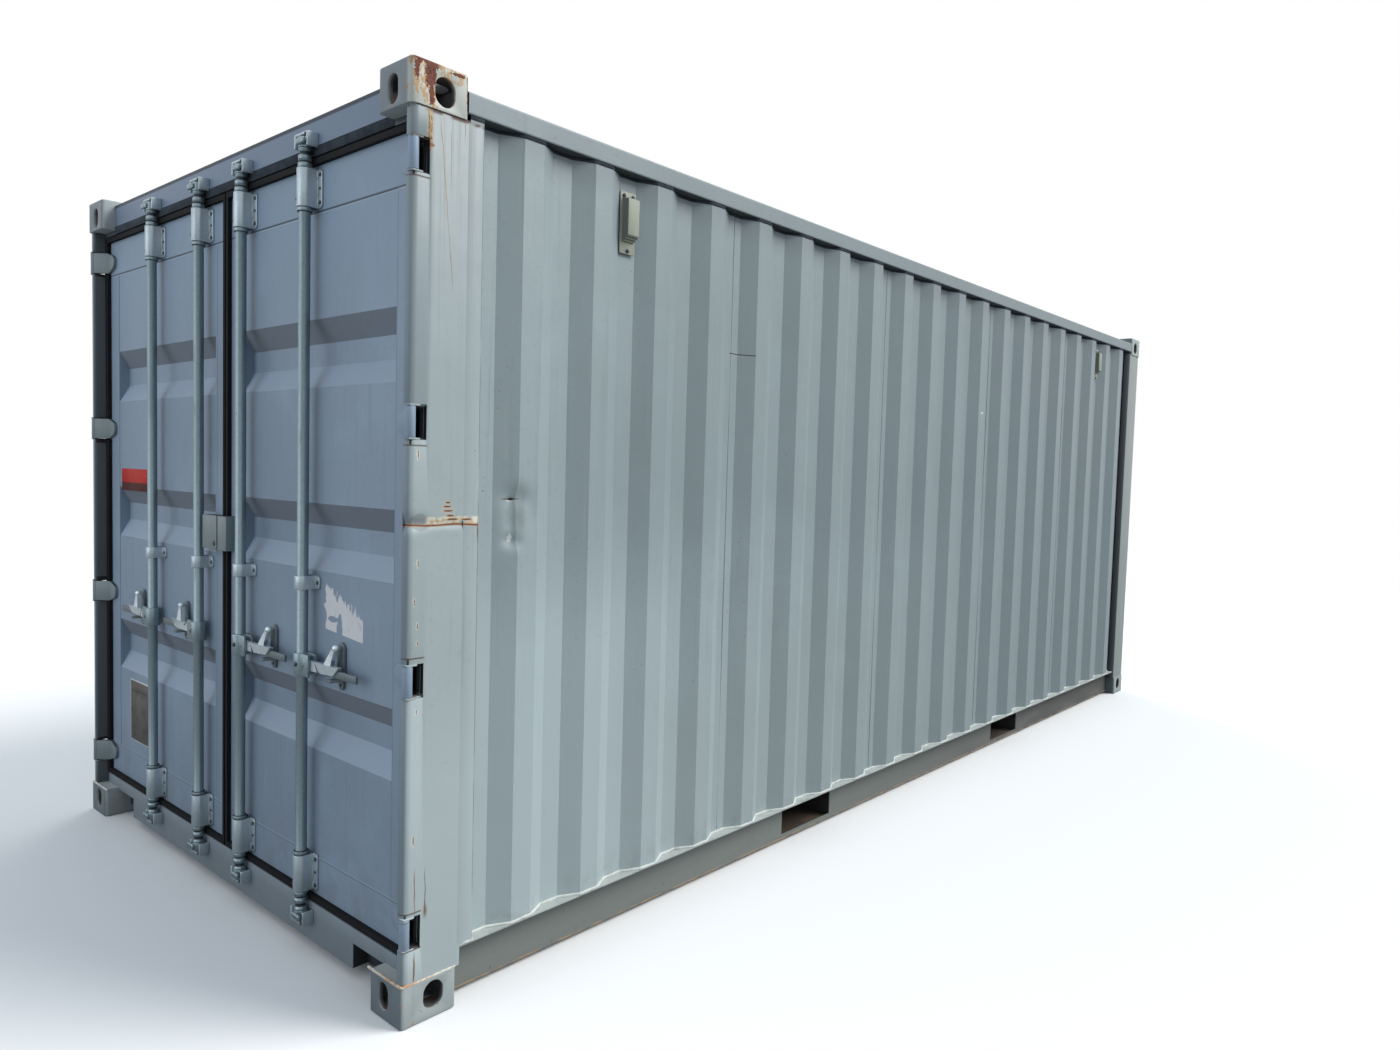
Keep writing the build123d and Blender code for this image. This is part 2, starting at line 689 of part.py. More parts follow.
# Hinge lugs: two plates in each window, with the pin between them
with BuildPart() as hinge_lugs:
    for height in hinge_heights:
        for lug_z in (height - HINGE_WINDOW / 2, height + HINGE_WINDOW / 2 - LUG_PLATE):
            with BuildSketch(Plane.XY.offset(lug_z)):
                with Locations((pin_x, pin_y - LUG_HALF_WIDTH + LUG_LENGTH / 2)):
                    nose = Rectangle(2 * LUG_HALF_WIDTH, LUG_LENGTH)
                fillet(nose.vertices().group_by(Axis.Y)[0], LUG_CORNER)
                with Locations((post_x - NOSE_WIDTH / 2, (pin_y + jamb_y) / 2)):
                    Rectangle(NOSE_WIDTH - 2 * POST_SHEET - SHEET_GAP, jamb_y - pin_y)
            extrude(amount=LUG_PLATE)
        with BuildSketch(Plane.XY.offset(height - HINGE_WINDOW / 2)):
            with Locations((pin_x, pin_y)):
                Circle(PIN_RADIUS)
        extrude(amount=HINGE_WINDOW)
    mirror(about=Plane.YZ)
save(hinge_lugs.part, "hinge_lugs")

# Keepers of the lock rods: open to the front, closed beyond the cam
with BuildPart() as cam_keepers:
    keeper_half = CAM_EAR + KEEPER_CLEARANCE
    for beam_y, cam_end, away in ((header_y, rod_top, 1), (sill_y, ROD_BOTTOM, -1)):
        with BuildSketch(Plane.XZ.offset(-beam_y)):
            for rod_x in ROD_PLACES:
                keeper_end = cam_end + away * KEEPER_END_GAP
                keeper_line = [
                    (rod_x - keeper_half, cam_end - away * CAM_HEIGHT),
                    (rod_x - keeper_half, keeper_end),
                    (rod_x + keeper_half, keeper_end),
                    (rod_x + keeper_half, cam_end - away * CAM_HEIGHT),
                ]
                with BuildLine():
                    Polyline(
                        *keeper_line,
                        *reversed(left_of(keeper_line, away * KEEPER_PLATE)),
                        close=True,
                    )
                make_face()
        extrude(amount=KEEPER_LENGTH)
    mirror(about=Plane.YZ)
save(cam_keepers.part, "cam_keepers")

# Door leaves: a frame of tubes and a sheet with three pressed bands
leaf_middle_x = (door_x + DOOR_HALF_GAP) / 2
leaf_width = door_x - DOOR_HALF_GAP
leaf_height = door_top - door_bottom
leaf_middle_z = (door_top + door_bottom) / 2
panel_width = leaf_width - 2 * DOOR_SIDE_MEMBER
panel_bottom = door_bottom + DOOR_BOTTOM_MEMBER
panel_top = door_top - DOOR_TOP_MEMBER
panel_y = door_y + PANEL_STEP
band_pitch = leaf_height / (BAND_COUNT + 1)
band_centres = [door_bottom + (number + 1) * band_pitch for number in range(BAND_COUNT)]


def band_profile(centre, depth, inset):
    """Return the section of one pressed band, across the door's thickness."""
    with BuildSketch(Plane.YZ.offset(leaf_middle_x - panel_width / 2 + inset)) as profile:
        with BuildLine():
            Polyline(
                (panel_y + depth - BAND_DEPTH, centre - BAND_HEIGHT / 2),
                (panel_y + depth - BAND_DEPTH, centre + BAND_HEIGHT / 2),
                (panel_y + depth, centre + BAND_FLAT / 2),
                (panel_y + depth, centre - BAND_FLAT / 2),
                close=True,
            )
        make_face()
    return profile.sketch


with BuildPart() as door:
    with BuildSketch(Plane.XZ.offset(-door_y)):
        with Locations((leaf_middle_x, leaf_middle_z)):
            Rectangle(leaf_width, leaf_height)
        with Locations((leaf_middle_x, (panel_bottom + panel_top) / 2)):
            Rectangle(panel_width, panel_top - panel_bottom, mode=Mode.SUBTRACT)
    extrude(amount=-DOOR_THICKNESS)
    with BuildSketch(Plane.XZ.offset(-panel_y)):
        with Locations((leaf_middle_x, (panel_bottom + panel_top) / 2)):
            Rectangle(panel_width, panel_top - panel_bottom)
    extrude(amount=-PANEL_SHEET)
    for centre in band_centres:
        extrude(band_profile(centre, BAND_DEPTH + PANEL_SHEET, 0), amount=panel_width)
    for centre in band_centres:
        extrude(
            band_profile(centre, BAND_DEPTH, PANEL_SHEET),
            amount=panel_width - 2 * PANEL_SHEET,
            mode=Mode.SUBTRACT,
        )
save_both(door.part, "door")

# Door gaskets: a rubber lip round the leaf, cut back under the hinge blades
gasket_x = post_x - NOSE_WIDTH - GASKET_SIDE_CLEARANCE
gasket_top = header_bottom - GASKET_END_CLEARANCE
gasket_bottom = SILL_TOP + GASKET_END_CLEARANCE
with BuildPart() as door_gasket:
    with BuildSketch(Plane.XZ.offset(GASKET_FRONT - door_y)):
        with Locations(((gasket_x + GASKET_HALF_GAP) / 2, (gasket_top + gasket_bottom) / 2)):
            Rectangle(gasket_x - GASKET_HALF_GAP, gasket_top - gasket_bottom)
        with Locations((leaf_middle_x, leaf_middle_z)):
            Rectangle(leaf_width, leaf_height, mode=Mode.SUBTRACT)
    extrude(amount=door_y - GASKET_FRONT - jamb_y + GASKET_SEAT)
    for height in hinge_heights:
        with Locations((door_x, door_y - GASKET_FRONT, height)):
            Box(
                4 * DOOR_SIDE_GAP,
                2 * GASKET_FRONT + BLADE_GAP,
                HINGE_WINDOW,
                mode=Mode.SUBTRACT,
            )
save_both(door_gasket.part, "door_gasket")

# Hinge blades: a barrel on the pin and a tapered plate on the door's face
blade_height = HINGE_WINDOW - 2 * LUG_PLATE - 2 * BLADE_GAP
blade_front_y = door_y - BLADE_PLATE
with BuildPart() as hinge_blades:
    for height in hinge_heights:
        with BuildSketch(Plane.XY.offset(height - blade_height / 2)):
            with BuildLine():
                Polyline(
                    (pin_x - BARREL_RADIUS, pin_y - BARREL_RADIUS / 2),
                    (door_x - BLADE_PLATE / 2, blade_front_y),
                    (pin_x - BLADE_REACH, blade_front_y),
                    (pin_x - BLADE_REACH, door_y),
                    (door_x, door_y),
                    (pin_x - BARREL_RADIUS / 2, pin_y + BARREL_RADIUS - PIN_RADIUS / 2),
                    close=True,
                )
            make_face()
            with Locations((pin_x, pin_y)):
                Circle(BARREL_RADIUS)
                Circle(PIN_RADIUS + PIN_CLEARANCE, mode=Mode.SUBTRACT)
        extrude(amount=blade_height)
    with BuildSketch(Plane.XZ.offset(-door_y)):
        for height in hinge_heights:
            with BuildLine():
                tip = pin_x - BLADE_REACH
                Line((side, height - blade_height / 2), (side, height + blade_height / 2))
                Line((side, height + blade_height / 2), (door_x, height + blade_height / 2))
                Line((door_x, height + blade_height / 2), (tip + BLADE_PLATE, height + BLADE_TIP_HEIGHT / 2))
                ThreePointArc(
                    (tip + BLADE_PLATE, height + BLADE_TIP_HEIGHT / 2),
                    (tip, height),
                    (tip + BLADE_PLATE, height - BLADE_TIP_HEIGHT / 2),
                )
                Line((tip + BLADE_PLATE, height - BLADE_TIP_HEIGHT / 2), (door_x, height - blade_height / 2))
                Line((door_x, height - blade_height / 2), (side, height - blade_height / 2))
            make_face()
    extrude(amount=DOOR_SETBACK, mode=Mode.INTERSECT)
save_both(hinge_blades.part, "hinge_blades")

# Rod brackets: bearing blocks with flanges on the door's face
with BuildPart() as rod_brackets:
    for rod_x in ROD_PLACES:
        for low, length in brackets:
            seat_y = panel_y if panel_bottom < low and low + length < panel_top else door_y
            with BuildSketch(Plane.XZ.offset(-seat_y)):
                with Locations((rod_x, low + length / 2)):
                    flange = Rectangle(2 * BRACKET_FLANGE, length)
                chamfer(flange.vertices(), BRACKET_CORNER)
            extrude(amount=seat_y - door_y + BRACKET_PLATE)
            for radius, mode in (
                (ROD_RADIUS + BRACKET_CLEARANCE + BRACKET_WALL, Mode.ADD),
                (ROD_RADIUS + BRACKET_CLEARANCE, Mode.SUBTRACT),
            ):
                with BuildSketch(Plane.XY.offset(low)):
                    with BuildLine():
                        Line((rod_x + radius, rod_y), (rod_x + radius, seat_y))
                        Line((rod_x + radius, seat_y), (rod_x - radius, seat_y))
                        Line((rod_x - radius, seat_y), (rod_x - radius, rod_y))
                        ThreePointArc(
                            (rod_x - radius, rod_y),
                            (rod_x, rod_y - radius),
                            (rod_x + radius, rod_y),
                        )
                    make_face()
                extrude(amount=length, mode=mode)
save_both(rod_brackets.part, "rod_brackets")

# Handle retainers: a plate with a round top, a shelf under the handle, and an eye below
with BuildPart() as handle_retainers:
    for rod_x in ROD_PLACES:
        middle = rod_x + RETAINER_REACH
        left_edge = middle - RETAINER_WIDTH / 2
        right_edge = middle + RETAINER_WIDTH / 2
        shoulder = RETAINER_TOP - RETAINER_WIDTH / 2
        with BuildSketch(Plane.XZ.offset(-panel_y)):
            with BuildLine():
                Line((left_edge, shoulder), (left_edge, RETAINER_SHELF))
                Line((left_edge, RETAINER_SHELF), (right_edge, RETAINER_SHELF))
                Line((right_edge, RETAINER_SHELF), (right_edge, shoulder))
                ThreePointArc((right_edge, shoulder), (middle, RETAINER_TOP), (left_edge, shoulder))
            make_face()
            with Locations((middle, RETAINER_SHELF - RETAINER_EYE_DROP)):
                Circle(RETAINER_EYE)
            with Locations((middle, RETAINER_SHELF - RETAINER_EYE_DROP / 2)):
                Rectangle(2 * RETAINER_EYE, RETAINER_EYE_DROP)
            with Locations((middle, RETAINER_SHELF - RETAINER_EYE_DROP)):
                Circle(RETAINER_EYE_HOLE, mode=Mode.SUBTRACT)
        extrude(amount=RETAINER_PLATE + PANEL_STEP)
        with BuildSketch(Plane.XY.offset(RETAINER_SHELF)):
            with BuildLine():
                Polyline(
                    (left_edge, panel_y),
                    (left_edge + RETAINER_PLATE, door_y - RETAINER_SHELF_LENGTH),
                    (right_edge - RETAINER_PLATE, door_y - RETAINER_SHELF_LENGTH),
                    (right_edge, panel_y),
                    close=True,
                )
            make_face()
        extrude(amount=RETAINER_PLATE)
save_both(handle_retainers.part, "handle_retainers")

# Lock box: a sheet box open below, split at the seam of the doors
for name, inner, outer in (("lock_box_left", -BOX_SEAM, -BOX_LEFT), ("lock_box_right", BOX_SEAM, BOX_RIGHT)):
    with BuildPart() as lock_box:
        with BuildSketch(Plane.XZ.offset(-door_y)):
            with Locations(((inner + outer) / 2, BOX_BOTTOM + BOX_HEIGHT / 2)):
                Rectangle(abs(outer - inner), BOX_HEIGHT)
        extrude(amount=BOX_LENGTH)
        inner_edge = outer - BOX_SHEET if outer > 0 else outer + BOX_SHEET
        with BuildSketch(Plane.XZ.offset(-door_y)):
            with Locations((inner_edge / 2, BOX_BOTTOM + (BOX_HEIGHT - BOX_SHEET) / 2)):
                Rectangle(abs(inner_edge), BOX_HEIGHT - BOX_SHEET)
        extrude(amount=BOX_LENGTH - BOX_SHEET, mode=Mode.SUBTRACT)
        gasket_room = DOOR_HALF_GAP + BOX_GASKET_CLEARANCE
        with BuildSketch(Plane.XZ.offset(-door_y)):
            with Locations((0, BOX_BOTTOM + BOX_HEIGHT / 2)):
                Rectangle(2 * gasket_room, 2 * BOX_HEIGHT)
        extrude(amount=GASKET_FRONT + BOX_GASKET_CLEARANCE, mode=Mode.SUBTRACT)
    save(lock_box.part, name)

# Lock rods and handles: collars, cams and hubs on the rods, a horn with a knob on the handles
hub_z = HUB_BOTTOM + HUB_HEIGHT / 2
for number, rod_x in enumerate(ROD_PLACES):
    with BuildPart() as lock_rod:
        low_collar = brackets[0][0] + brackets[0][1] + BRACKET_END_GAP
        high_collar = brackets[-1][0] - BRACKET_END_GAP - COLLAR_HEIGHT
        tube_top = brackets[-1][0] + brackets[-1][1] + BRACKET_END_GAP
        for bottom, top, radius in (
            (ROD_BOTTOM, brackets[0][0] - BRACKET_END_GAP, NECK_RADIUS),
            (brackets[0][0] - BRACKET_END_GAP, low_collar, ROD_RADIUS),
            (low_collar, low_collar + COLLAR_HEIGHT, COLLAR_RADIUS),
            (low_collar + COLLAR_HEIGHT, high_collar, ROD_RADIUS),
            (high_collar, high_collar + COLLAR_HEIGHT, COLLAR_RADIUS),
            (high_collar + COLLAR_HEIGHT, tube_top, ROD_RADIUS),
            (tube_top, rod_top, NECK_RADIUS),
        ):
            with BuildSketch(Plane.XY.offset(bottom)):
                with Locations((rod_x, rod_y)):
                    Circle(radius)
            extrude(amount=top - bottom)
        for cam_z in (ROD_BOTTOM, rod_top - CAM_HEIGHT):
            with BuildSketch(Plane.XY.offset(cam_z)):
                with Locations((rod_x, rod_y)):
                    Circle(CAM_RADIUS)
                with Locations((rod_x + CAM_EAR / 2, rod_y)):
                    Rectangle(CAM_EAR, CAM_EAR_WIDTH)
                with Locations((rod_x, rod_y)):
                    Circle(CAM_EAR, mode=Mode.INTERSECT)
            extrude(amount=CAM_HEIGHT)
        with BuildSketch(Plane.XY.offset(HUB_BOTTOM)):
            with Locations((rod_x, rod_y)):
                Circle(HUB_RADIUS)
            with Locations((rod_x + HUB_REACH / 2, rod_y)):
                Rectangle(HUB_REACH, HUB_WIDTH)
        extrude(amount=HUB_HEIGHT)
        slot_start = HANDLE_PIN_REACH - HANDLE_WIDTH / 2 - HANDLE_SIDE_GAP
        with BuildSketch(Plane.XY.offset(HUB_BOTTOM)):
            with Locations((rod_x + (slot_start + HUB_REACH) / 2, rod_y)):
                Rectangle(HUB_REACH - slot_start, HANDLE_THICKNESS + 2 * HANDLE_SIDE_GAP)
        extrude(amount=HUB_HEIGHT, mode=Mode.SUBTRACT)
        with BuildSketch(Plane.XZ.offset(HUB_WIDTH / 2 + HANDLE_PIN_HEAD - rod_y)):
            with Locations((rod_x + HANDLE_PIN_REACH, hub_z)):
                Circle(HANDLE_PIN_RADIUS)
        extrude(amount=-(HUB_WIDTH + 2 * HANDLE_PIN_HEAD))
    with BuildPart() as handle:
        pin_point = (rod_x + HANDLE_PIN_REACH, hub_z)
        with BuildSketch(Plane.XZ.offset(HANDLE_THICKNESS / 2 - rod_y)):
            with BuildLine():
                Line(pin_point, (rod_x + HANDLE_REACH, hub_z + HANDLE_RISE))
            trace(line_width=HANDLE_WIDTH)
            with Locations(pin_point, (rod_x + HANDLE_REACH, hub_z + HANDLE_RISE)):
                Circle(HANDLE_WIDTH / 2)
            with Locations(pin_point):
                Circle(HANDLE_PIN_RADIUS + HANDLE_PIN_CLEARANCE, mode=Mode.SUBTRACT)
        extrude(amount=-HANDLE_THICKNESS)
        with BuildSketch(Plane.XY.offset(hub_z)):
            with Locations((rod_x + HORN_FOOT_REACH, rod_y)):
                Rectangle(HORN_FOOT_WIDTH, HANDLE_THICKNESS)
        with BuildSketch(Plane.XY.offset(hub_z + HORN_RISE)):
            with Locations((rod_x + HORN_REACH, rod_y + HORN_LEAN)):
                Rectangle(HORN_WIDTH, HORN_WIDTH)
        loft()
        with Locations((rod_x + HORN_REACH, rod_y + HORN_LEAN, hub_z + HORN_RISE)):
            Sphere(KNOB_RADIUS)
    with BuildPart() as left_rod:
        mirror(lock_rod.part, about=Plane.YZ)
    with BuildPart() as left_handle:
        mirror(handle.part, about=Plane.YZ)
    save(lock_rod.part, f"rod_{3 + number}")
    save(handle.part, f"handle_{3 + number}")
    save(left_rod.part, f"rod_{2 - number}")
    save(left_handle.part, f"handle_{2 - number}")
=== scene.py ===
# %% [markdown]
# # Dressing a freight container
# The steel frame, doors and lock gear come ready made from the CAD model, in metres.
# This lesson gives them what CAD leaves out: rounded edges, dents, beads, bolts, paint, rust and dirt.
# Everything stays where the CAD put it, so the doors, rods and handles still move.

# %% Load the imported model
import bmesh
import bpy
import json
import math
import random
from mathutils import Matrix, Vector, noise


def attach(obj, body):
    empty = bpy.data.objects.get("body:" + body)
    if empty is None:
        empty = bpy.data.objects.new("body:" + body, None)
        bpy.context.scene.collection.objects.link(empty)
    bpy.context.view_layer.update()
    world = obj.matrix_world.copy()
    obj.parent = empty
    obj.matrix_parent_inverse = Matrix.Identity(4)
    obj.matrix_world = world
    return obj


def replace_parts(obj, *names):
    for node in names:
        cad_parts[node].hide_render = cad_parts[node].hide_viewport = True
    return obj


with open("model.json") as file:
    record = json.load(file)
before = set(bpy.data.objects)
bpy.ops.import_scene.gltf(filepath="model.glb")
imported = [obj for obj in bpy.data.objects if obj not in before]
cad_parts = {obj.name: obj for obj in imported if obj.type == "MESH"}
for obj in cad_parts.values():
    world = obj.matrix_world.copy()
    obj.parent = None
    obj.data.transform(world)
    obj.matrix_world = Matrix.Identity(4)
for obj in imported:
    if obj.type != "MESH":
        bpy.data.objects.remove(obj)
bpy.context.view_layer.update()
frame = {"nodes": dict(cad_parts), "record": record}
body_of = {node: body for body, nodes in frame["record"]["behaviour"]["bodies"].items() for node in nodes}
random.seed(20)

# %% [markdown]
# ## The camera
# The photograph was taken from chest height, close to the corner, with a wide phone lens.
# A camera object is a place, a turn and a lens. Three directions make the turn: right, up and backwards.
# Worked out from straight edges in the picture, they give the same corner view, with a slight roll.

# %% Camera
scene = bpy.context.scene
azimuth, elevation, roll = (math.radians(angle) for angle in (40.8, 3.18, 1.66))
level_share = math.cos(elevation)
backwards = Vector((math.sin(azimuth) * level_share, -math.cos(azimuth) * level_share, math.sin(elevation)))
level_right = Vector((0, 0, 1)).cross(backwards).normalized()
level_up = backwards.cross(level_right)
right = level_right * math.cos(roll) + level_up * math.sin(roll)
up = level_up * math.cos(roll) - level_right * math.sin(roll)
camera = bpy.data.objects.new("camera", bpy.data.cameras.new("camera"))
scene.collection.objects.link(camera)
turn = Matrix((right, up, backwards)).transposed().to_4x4()
camera.matrix_world = Matrix.Translation((3.45, -4.432, 1.542)) @ turn
camera.data.sensor_width = 36
camera.data.lens = 24.68
camera.data.clip_end = 200
scene.camera = camera
scene.view_settings.view_transform = "Standard"
print("camera looks along", tuple(round(-number, 2) for number in backwards))

# %% [markdown]
# ## Soft studio light
# The real one stands under a bright sky: its long side is light and its doors lie in soft bluish shade.
# Two ways to copy that are a sky texture, or one soft sun with a plain sky. The second is easier to balance.
# The sun comes from beyond the long side, so each slope of the sheet that faces the doors is in half shade.
# The sky is brighter overhead than at the horizon, and white only where the camera or a reflection sees it.

# %% Sun, lamps and sky
def join(tree, value, socket):
    """Feed a socket with another node's output, or with a plain value."""
    if isinstance(value, bpy.types.NodeSocket):
        tree.links.new(value, socket)
    else:
        socket.default_value = value


def new_node(tree, kind, inputs=None, **options):
    """Add a node, set its options and feed its inputs."""
    node = tree.nodes.new(kind)
    for option, value in options.items():
        setattr(node, option, value)
    for socket, value in (inputs or {}).items():
        join(tree, value, node.inputs[socket])
    return node


def aim(light, name, place, target):
    """Hang a light at a place and turn it to the target."""
    hung = bpy.data.objects.new(name, light)
    scene.collection.objects.link(hung)
    hung.location = place
    hung.rotation_euler = (Vector(target) - Vector(place)).to_track_quat("-Z", "Y").to_euler()


def lamp(name, place, target, size, power, colour):
    """Hang one square lamp that faces the target."""
    light = bpy.data.lights.new(name, "AREA")
    light.size, light.energy, light.color = size, power, colour
    aim(light, name, place, target)


sun = bpy.data.lights.new("soft_sun", "SUN")
sun.energy, sun.angle, sun.color = 2.9, math.radians(34), (1.0, 0.985, 0.95)
aim(sun, "soft_sun", (5.6, 5.2, 6.4), (0, 0, 0))
lamp("door_lamp", (-2.5, -12.0, 2.6), (0.0, -3.0, 1.0), 9.0, 300, (0.88, 0.95, 1.0))
lamp("far_lamp", (-10.0, 9.0, 9.0), (-1.0, 1.0, 1.2), 7.0, 500, (1.0, 0.99, 0.97))

world = bpy.data.worlds.new("studio")
scene.world = world
world.use_nodes = True
sky = world.node_tree
sky.nodes.clear()
rays = new_node(sky, "ShaderNodeLightPath").outputs
seen = rays["Is Camera Ray"]
for ray in ("Is Glossy Ray", "Is Transmission Ray"):
    seen = new_node(sky, "ShaderNodeMath", {0: seen, 1: rays[ray]}, operation="MAXIMUM").outputs[0]
outward = new_node(sky, "ShaderNodeTexCoord").outputs["Generated"]
height = new_node(sky, "ShaderNodeSeparateXYZ", {0: outward}).outputs["Z"]
strength = new_node(sky, "ShaderNodeMapRange", {"Value": height, "To Min": 0.46, "To Max": 0.84})
glow = {"Color": (0.86, 0.93, 1.0, 1), "Strength": strength.outputs["Result"]}
fill = new_node(sky, "ShaderNodeBackground", glow)
white = new_node(sky, "ShaderNodeBackground", {"Color": (1, 1, 1, 1)})
which = new_node(sky, "ShaderNodeMixShader", {"Fac": seen, 1: fill.outputs[0], 2: white.outputs[0]})
new_node(sky, "ShaderNodeOutputWorld", {"Surface": which.outputs[0]})
print("sky nodes:", len(sky.nodes))

# %% [markdown]
# ## A kit for finishes
# Old paint is never one colour. It has clouds of dust, runs, scratches, chips and rust, one over another.
# A picture of real paint could be wrapped round the shape, but it would blur up close and show seams.
# So each finish is built from layers. A layer has a mask, which says where it lies, and a colour.
# The masks come from noise and from places on the object, in metres, so a stain can sit exactly where it is.

# %% The finish kit
def tint(red, green, blue):
    """Turn a paint card's colour, 0 to 255, into Blender's linear colour."""
    shades = [part / 255 for part in (red, green, blue)]
    linear = [shade / 12.92 if shade < 0.04045 else ((shade + 0.055) / 1.055) ** 2.4 for shade in shades]
    return (*linear, 1.0)


class Finish:
    """A surface: a first colour, then layers over it where their masks say."""

    def __init__(self, name, colour, roughness, metallic=0.0, mirror=0.5):
        self.material = bpy.data.materials.new(name)
        self.material.use_nodes = True
        self.tree = self.material.node_tree
        self.shader = self.tree.nodes["Principled BSDF"]
        self.shader.inputs["Metallic"].default_value = metallic
        self.shader.inputs["Specular IOR Level"].default_value = mirror
        found = self.add("ShaderNodeTexCoord").outputs
        self.place = found["Object"]
        self.axis, self.facing = (dict(zip("xyz", self.add("ShaderNodeSeparateXYZ", {0: found[kind]}).outputs))
                                  for kind in ("Object", "Normal"))
        self.colour, self.roughness = tint(*colour), roughness

    def add(self, kind, inputs=None, **options):
        """Add a node to this finish."""
        return new_node(self.tree, kind, inputs, **options)

    def math(self, operation, first, second=0.0):
        """Do one sum on two values."""
        return self.add("ShaderNodeMath", {0: first, 1: second}, operation=operation).outputs[0]

    def rise(self, value, low, high):
        """Rise smoothly from 0 at low to 1 at high, or fall when low is the larger."""
        ends = {"Value": value, "From Min": low, "From Max": high}
        return self.add("ShaderNodeMapRange", ends, interpolation_type="SMOOTHSTEP").outputs["Result"]

    def along(self, axis, low, high):
        """Rise from one place on an axis of the object to another."""
        return self.rise(self.axis[axis], low, high)

    def faces(self, axis, low, high):
        """Rise as the surface turns towards an axis, from -1 against it to 1 along it."""
        return self.rise(self.facing[axis], low, high)

    def faces_doors(self):
        """Mask what faces the doors' side."""
        return self.faces("y", -0.5, -0.9)

    def clouds(self, size, stretch=(1, 1, 1), detail=4.0, shift=0.0):
        """Give noise whose patches measure about size metres, longer where stretched."""
        scale = [1 / (size * part) for part in stretch]
        there = self.add("ShaderNodeMapping", {"Vector": self.place, "Scale": scale, "Location": (shift,) * 3})
        grain = {"Vector": there.outputs[0], "Scale": 1.0, "Detail": detail}
        return self.add("ShaderNodeTexNoise", grain).outputs[0]

    def patches(self, size, low, high, stretch=(1, 1, 1), detail=4.0, shift=0.0):
        """Mask the thick parts of the clouds, from none at low to all at high."""
        return self.rise(self.clouds(size, stretch, detail, shift), low, high)

    def sway(self, reach, size, stretch=(1, 1, 1), detail=4.0, shift=0.0):
        """Give clouds that swing to both sides of 0, over the reach in all."""
        centred = self.math("SUBTRACT", self.clouds(size, stretch, detail, shift), 0.5)
        return self.math("MULTIPLY", centred, reach)

    def off(self, value, place):
        """Give how far a value is from a place, on either side."""
        return self.math("ABSOLUTE", self.math("SUBTRACT", value, place))

    def span(self, value, low, high, soft):
        """Mask where a value lies between two numbers."""
        above = self.rise(value, low - soft, low + soft)
        return self.math("MULTIPLY", above, self.rise(value, high + soft, high - soft))

    def between(self, axis, low, high, soft):
        """Mask a slice of the object between two places on an axis."""
        return self.span(self.axis[axis], low, high, soft)

    def spot(self, centre, radii, ragged=0.5, size=0.02):
        """Mask a ragged blot round a place."""
        offset = self.add("ShaderNodeVectorMath", {0: self.place, 1: centre}, operation="SUBTRACT")
        share = self.add("ShaderNodeVectorMath", {0: offset.outputs[0], 1: radii}, operation="DIVIDE")
        length = self.add("ShaderNodeVectorMath", {0: share.outputs[0]}, operation="LENGTH")
        return self.rise(self.math("ADD", length.outputs["Value"], self.sway(2 * ragged, size)), 1.05, 0.85)

    def run(self, axis, place, top, bottom, width, wander=0.012, lean=0.0):
        """Mask a thin run that trickles down from top to bottom, at a place on an axis, leaning as it falls."""
        sway = self.sway(2 * wander, 0.06, (0.3, 0.3, 1), 3.0, place)
        centre = self.math("SUBTRACT", place + lean * top, self.math("MULTIPLY", self.axis["z"], lean))
        line = self.rise(self.off(self.math("ADD", self.axis[axis], sway), centre), width, width * 0.35)
        return self.math("MULTIPLY", line, self.between("z", bottom, top, 0.02))

    def combined(self, operation, masks):
        """Do the same sum on all the masks, one after another."""
        joined = masks[0]
        for mask in masks[1:]:
            joined = self.math(operation, joined, mask)
        return joined

    def both(self, *masks):
        """Keep only where all the masks lie."""
        return self.combined("MULTIPLY", masks)

    def either(self, *masks):
        """Keep where any of the masks lies."""
        return self.combined("MAXIMUM", masks)

    def layer(self, mask, colour, roughness=None, cover=1.0):
        """Lay a colour over what is there, where the mask lies, or where all of several masks lie."""
        if isinstance(mask, tuple):
            mask = self.both(*mask)
        if cover < 1.0:
            mask = self.math("MULTIPLY", mask, cover)
        mix = self.add("ShaderNodeMix", {0: mask, 6: self.colour, 7: tint(*colour)}, data_type="RGBA")
        self.colour = mix.outputs[2]
        if roughness is not None:
            mix = self.add("ShaderNodeMix", {0: mask, 2: self.roughness, 3: roughness}, data_type="FLOAT")
            self.roughness = mix.outputs[0]

    def relief(self, height, depth):
        """Raise the surface by up to depth metres where the height is 1, on top of any earlier relief."""
        normal = self.shader.inputs["Normal"]
        below = {"Normal": normal.links[0].from_socket} if normal.is_linked else {}
        bump = self.add("ShaderNodeBump", {"Distance": depth, "Height": height, **below})
        join(self.tree, bump.outputs[0], normal)

    def done(self):
        """Join the last layer to the shader."""
        join(self.tree, self.colour, self.shader.inputs["Base Color"])
        join(self.tree, self.roughness, self.shader.inputs["Roughness"])
        print("finish", self.material.name, "has", len(self.tree.nodes), "nodes")
        return self.material


# %% [markdown]
# ## What all the paint has in common
# Sprayed paint on a container is semi-gloss, and years of rain and dust leave it cloudy.
# A roughness picture alone would look clean, so the clouds change the colour as well.
# Wide clouds, fine mottling, upright rain marks and dust on what faces up do most of it. Rust specks end it.
# Two very low bumps, one wide and one fine, keep the flat sheet from looking like glass.

# %% Weathered paint
RUST, DARK_RUST, RUST_STAIN = (122, 72, 46), (78, 46, 36), (176, 138, 98)


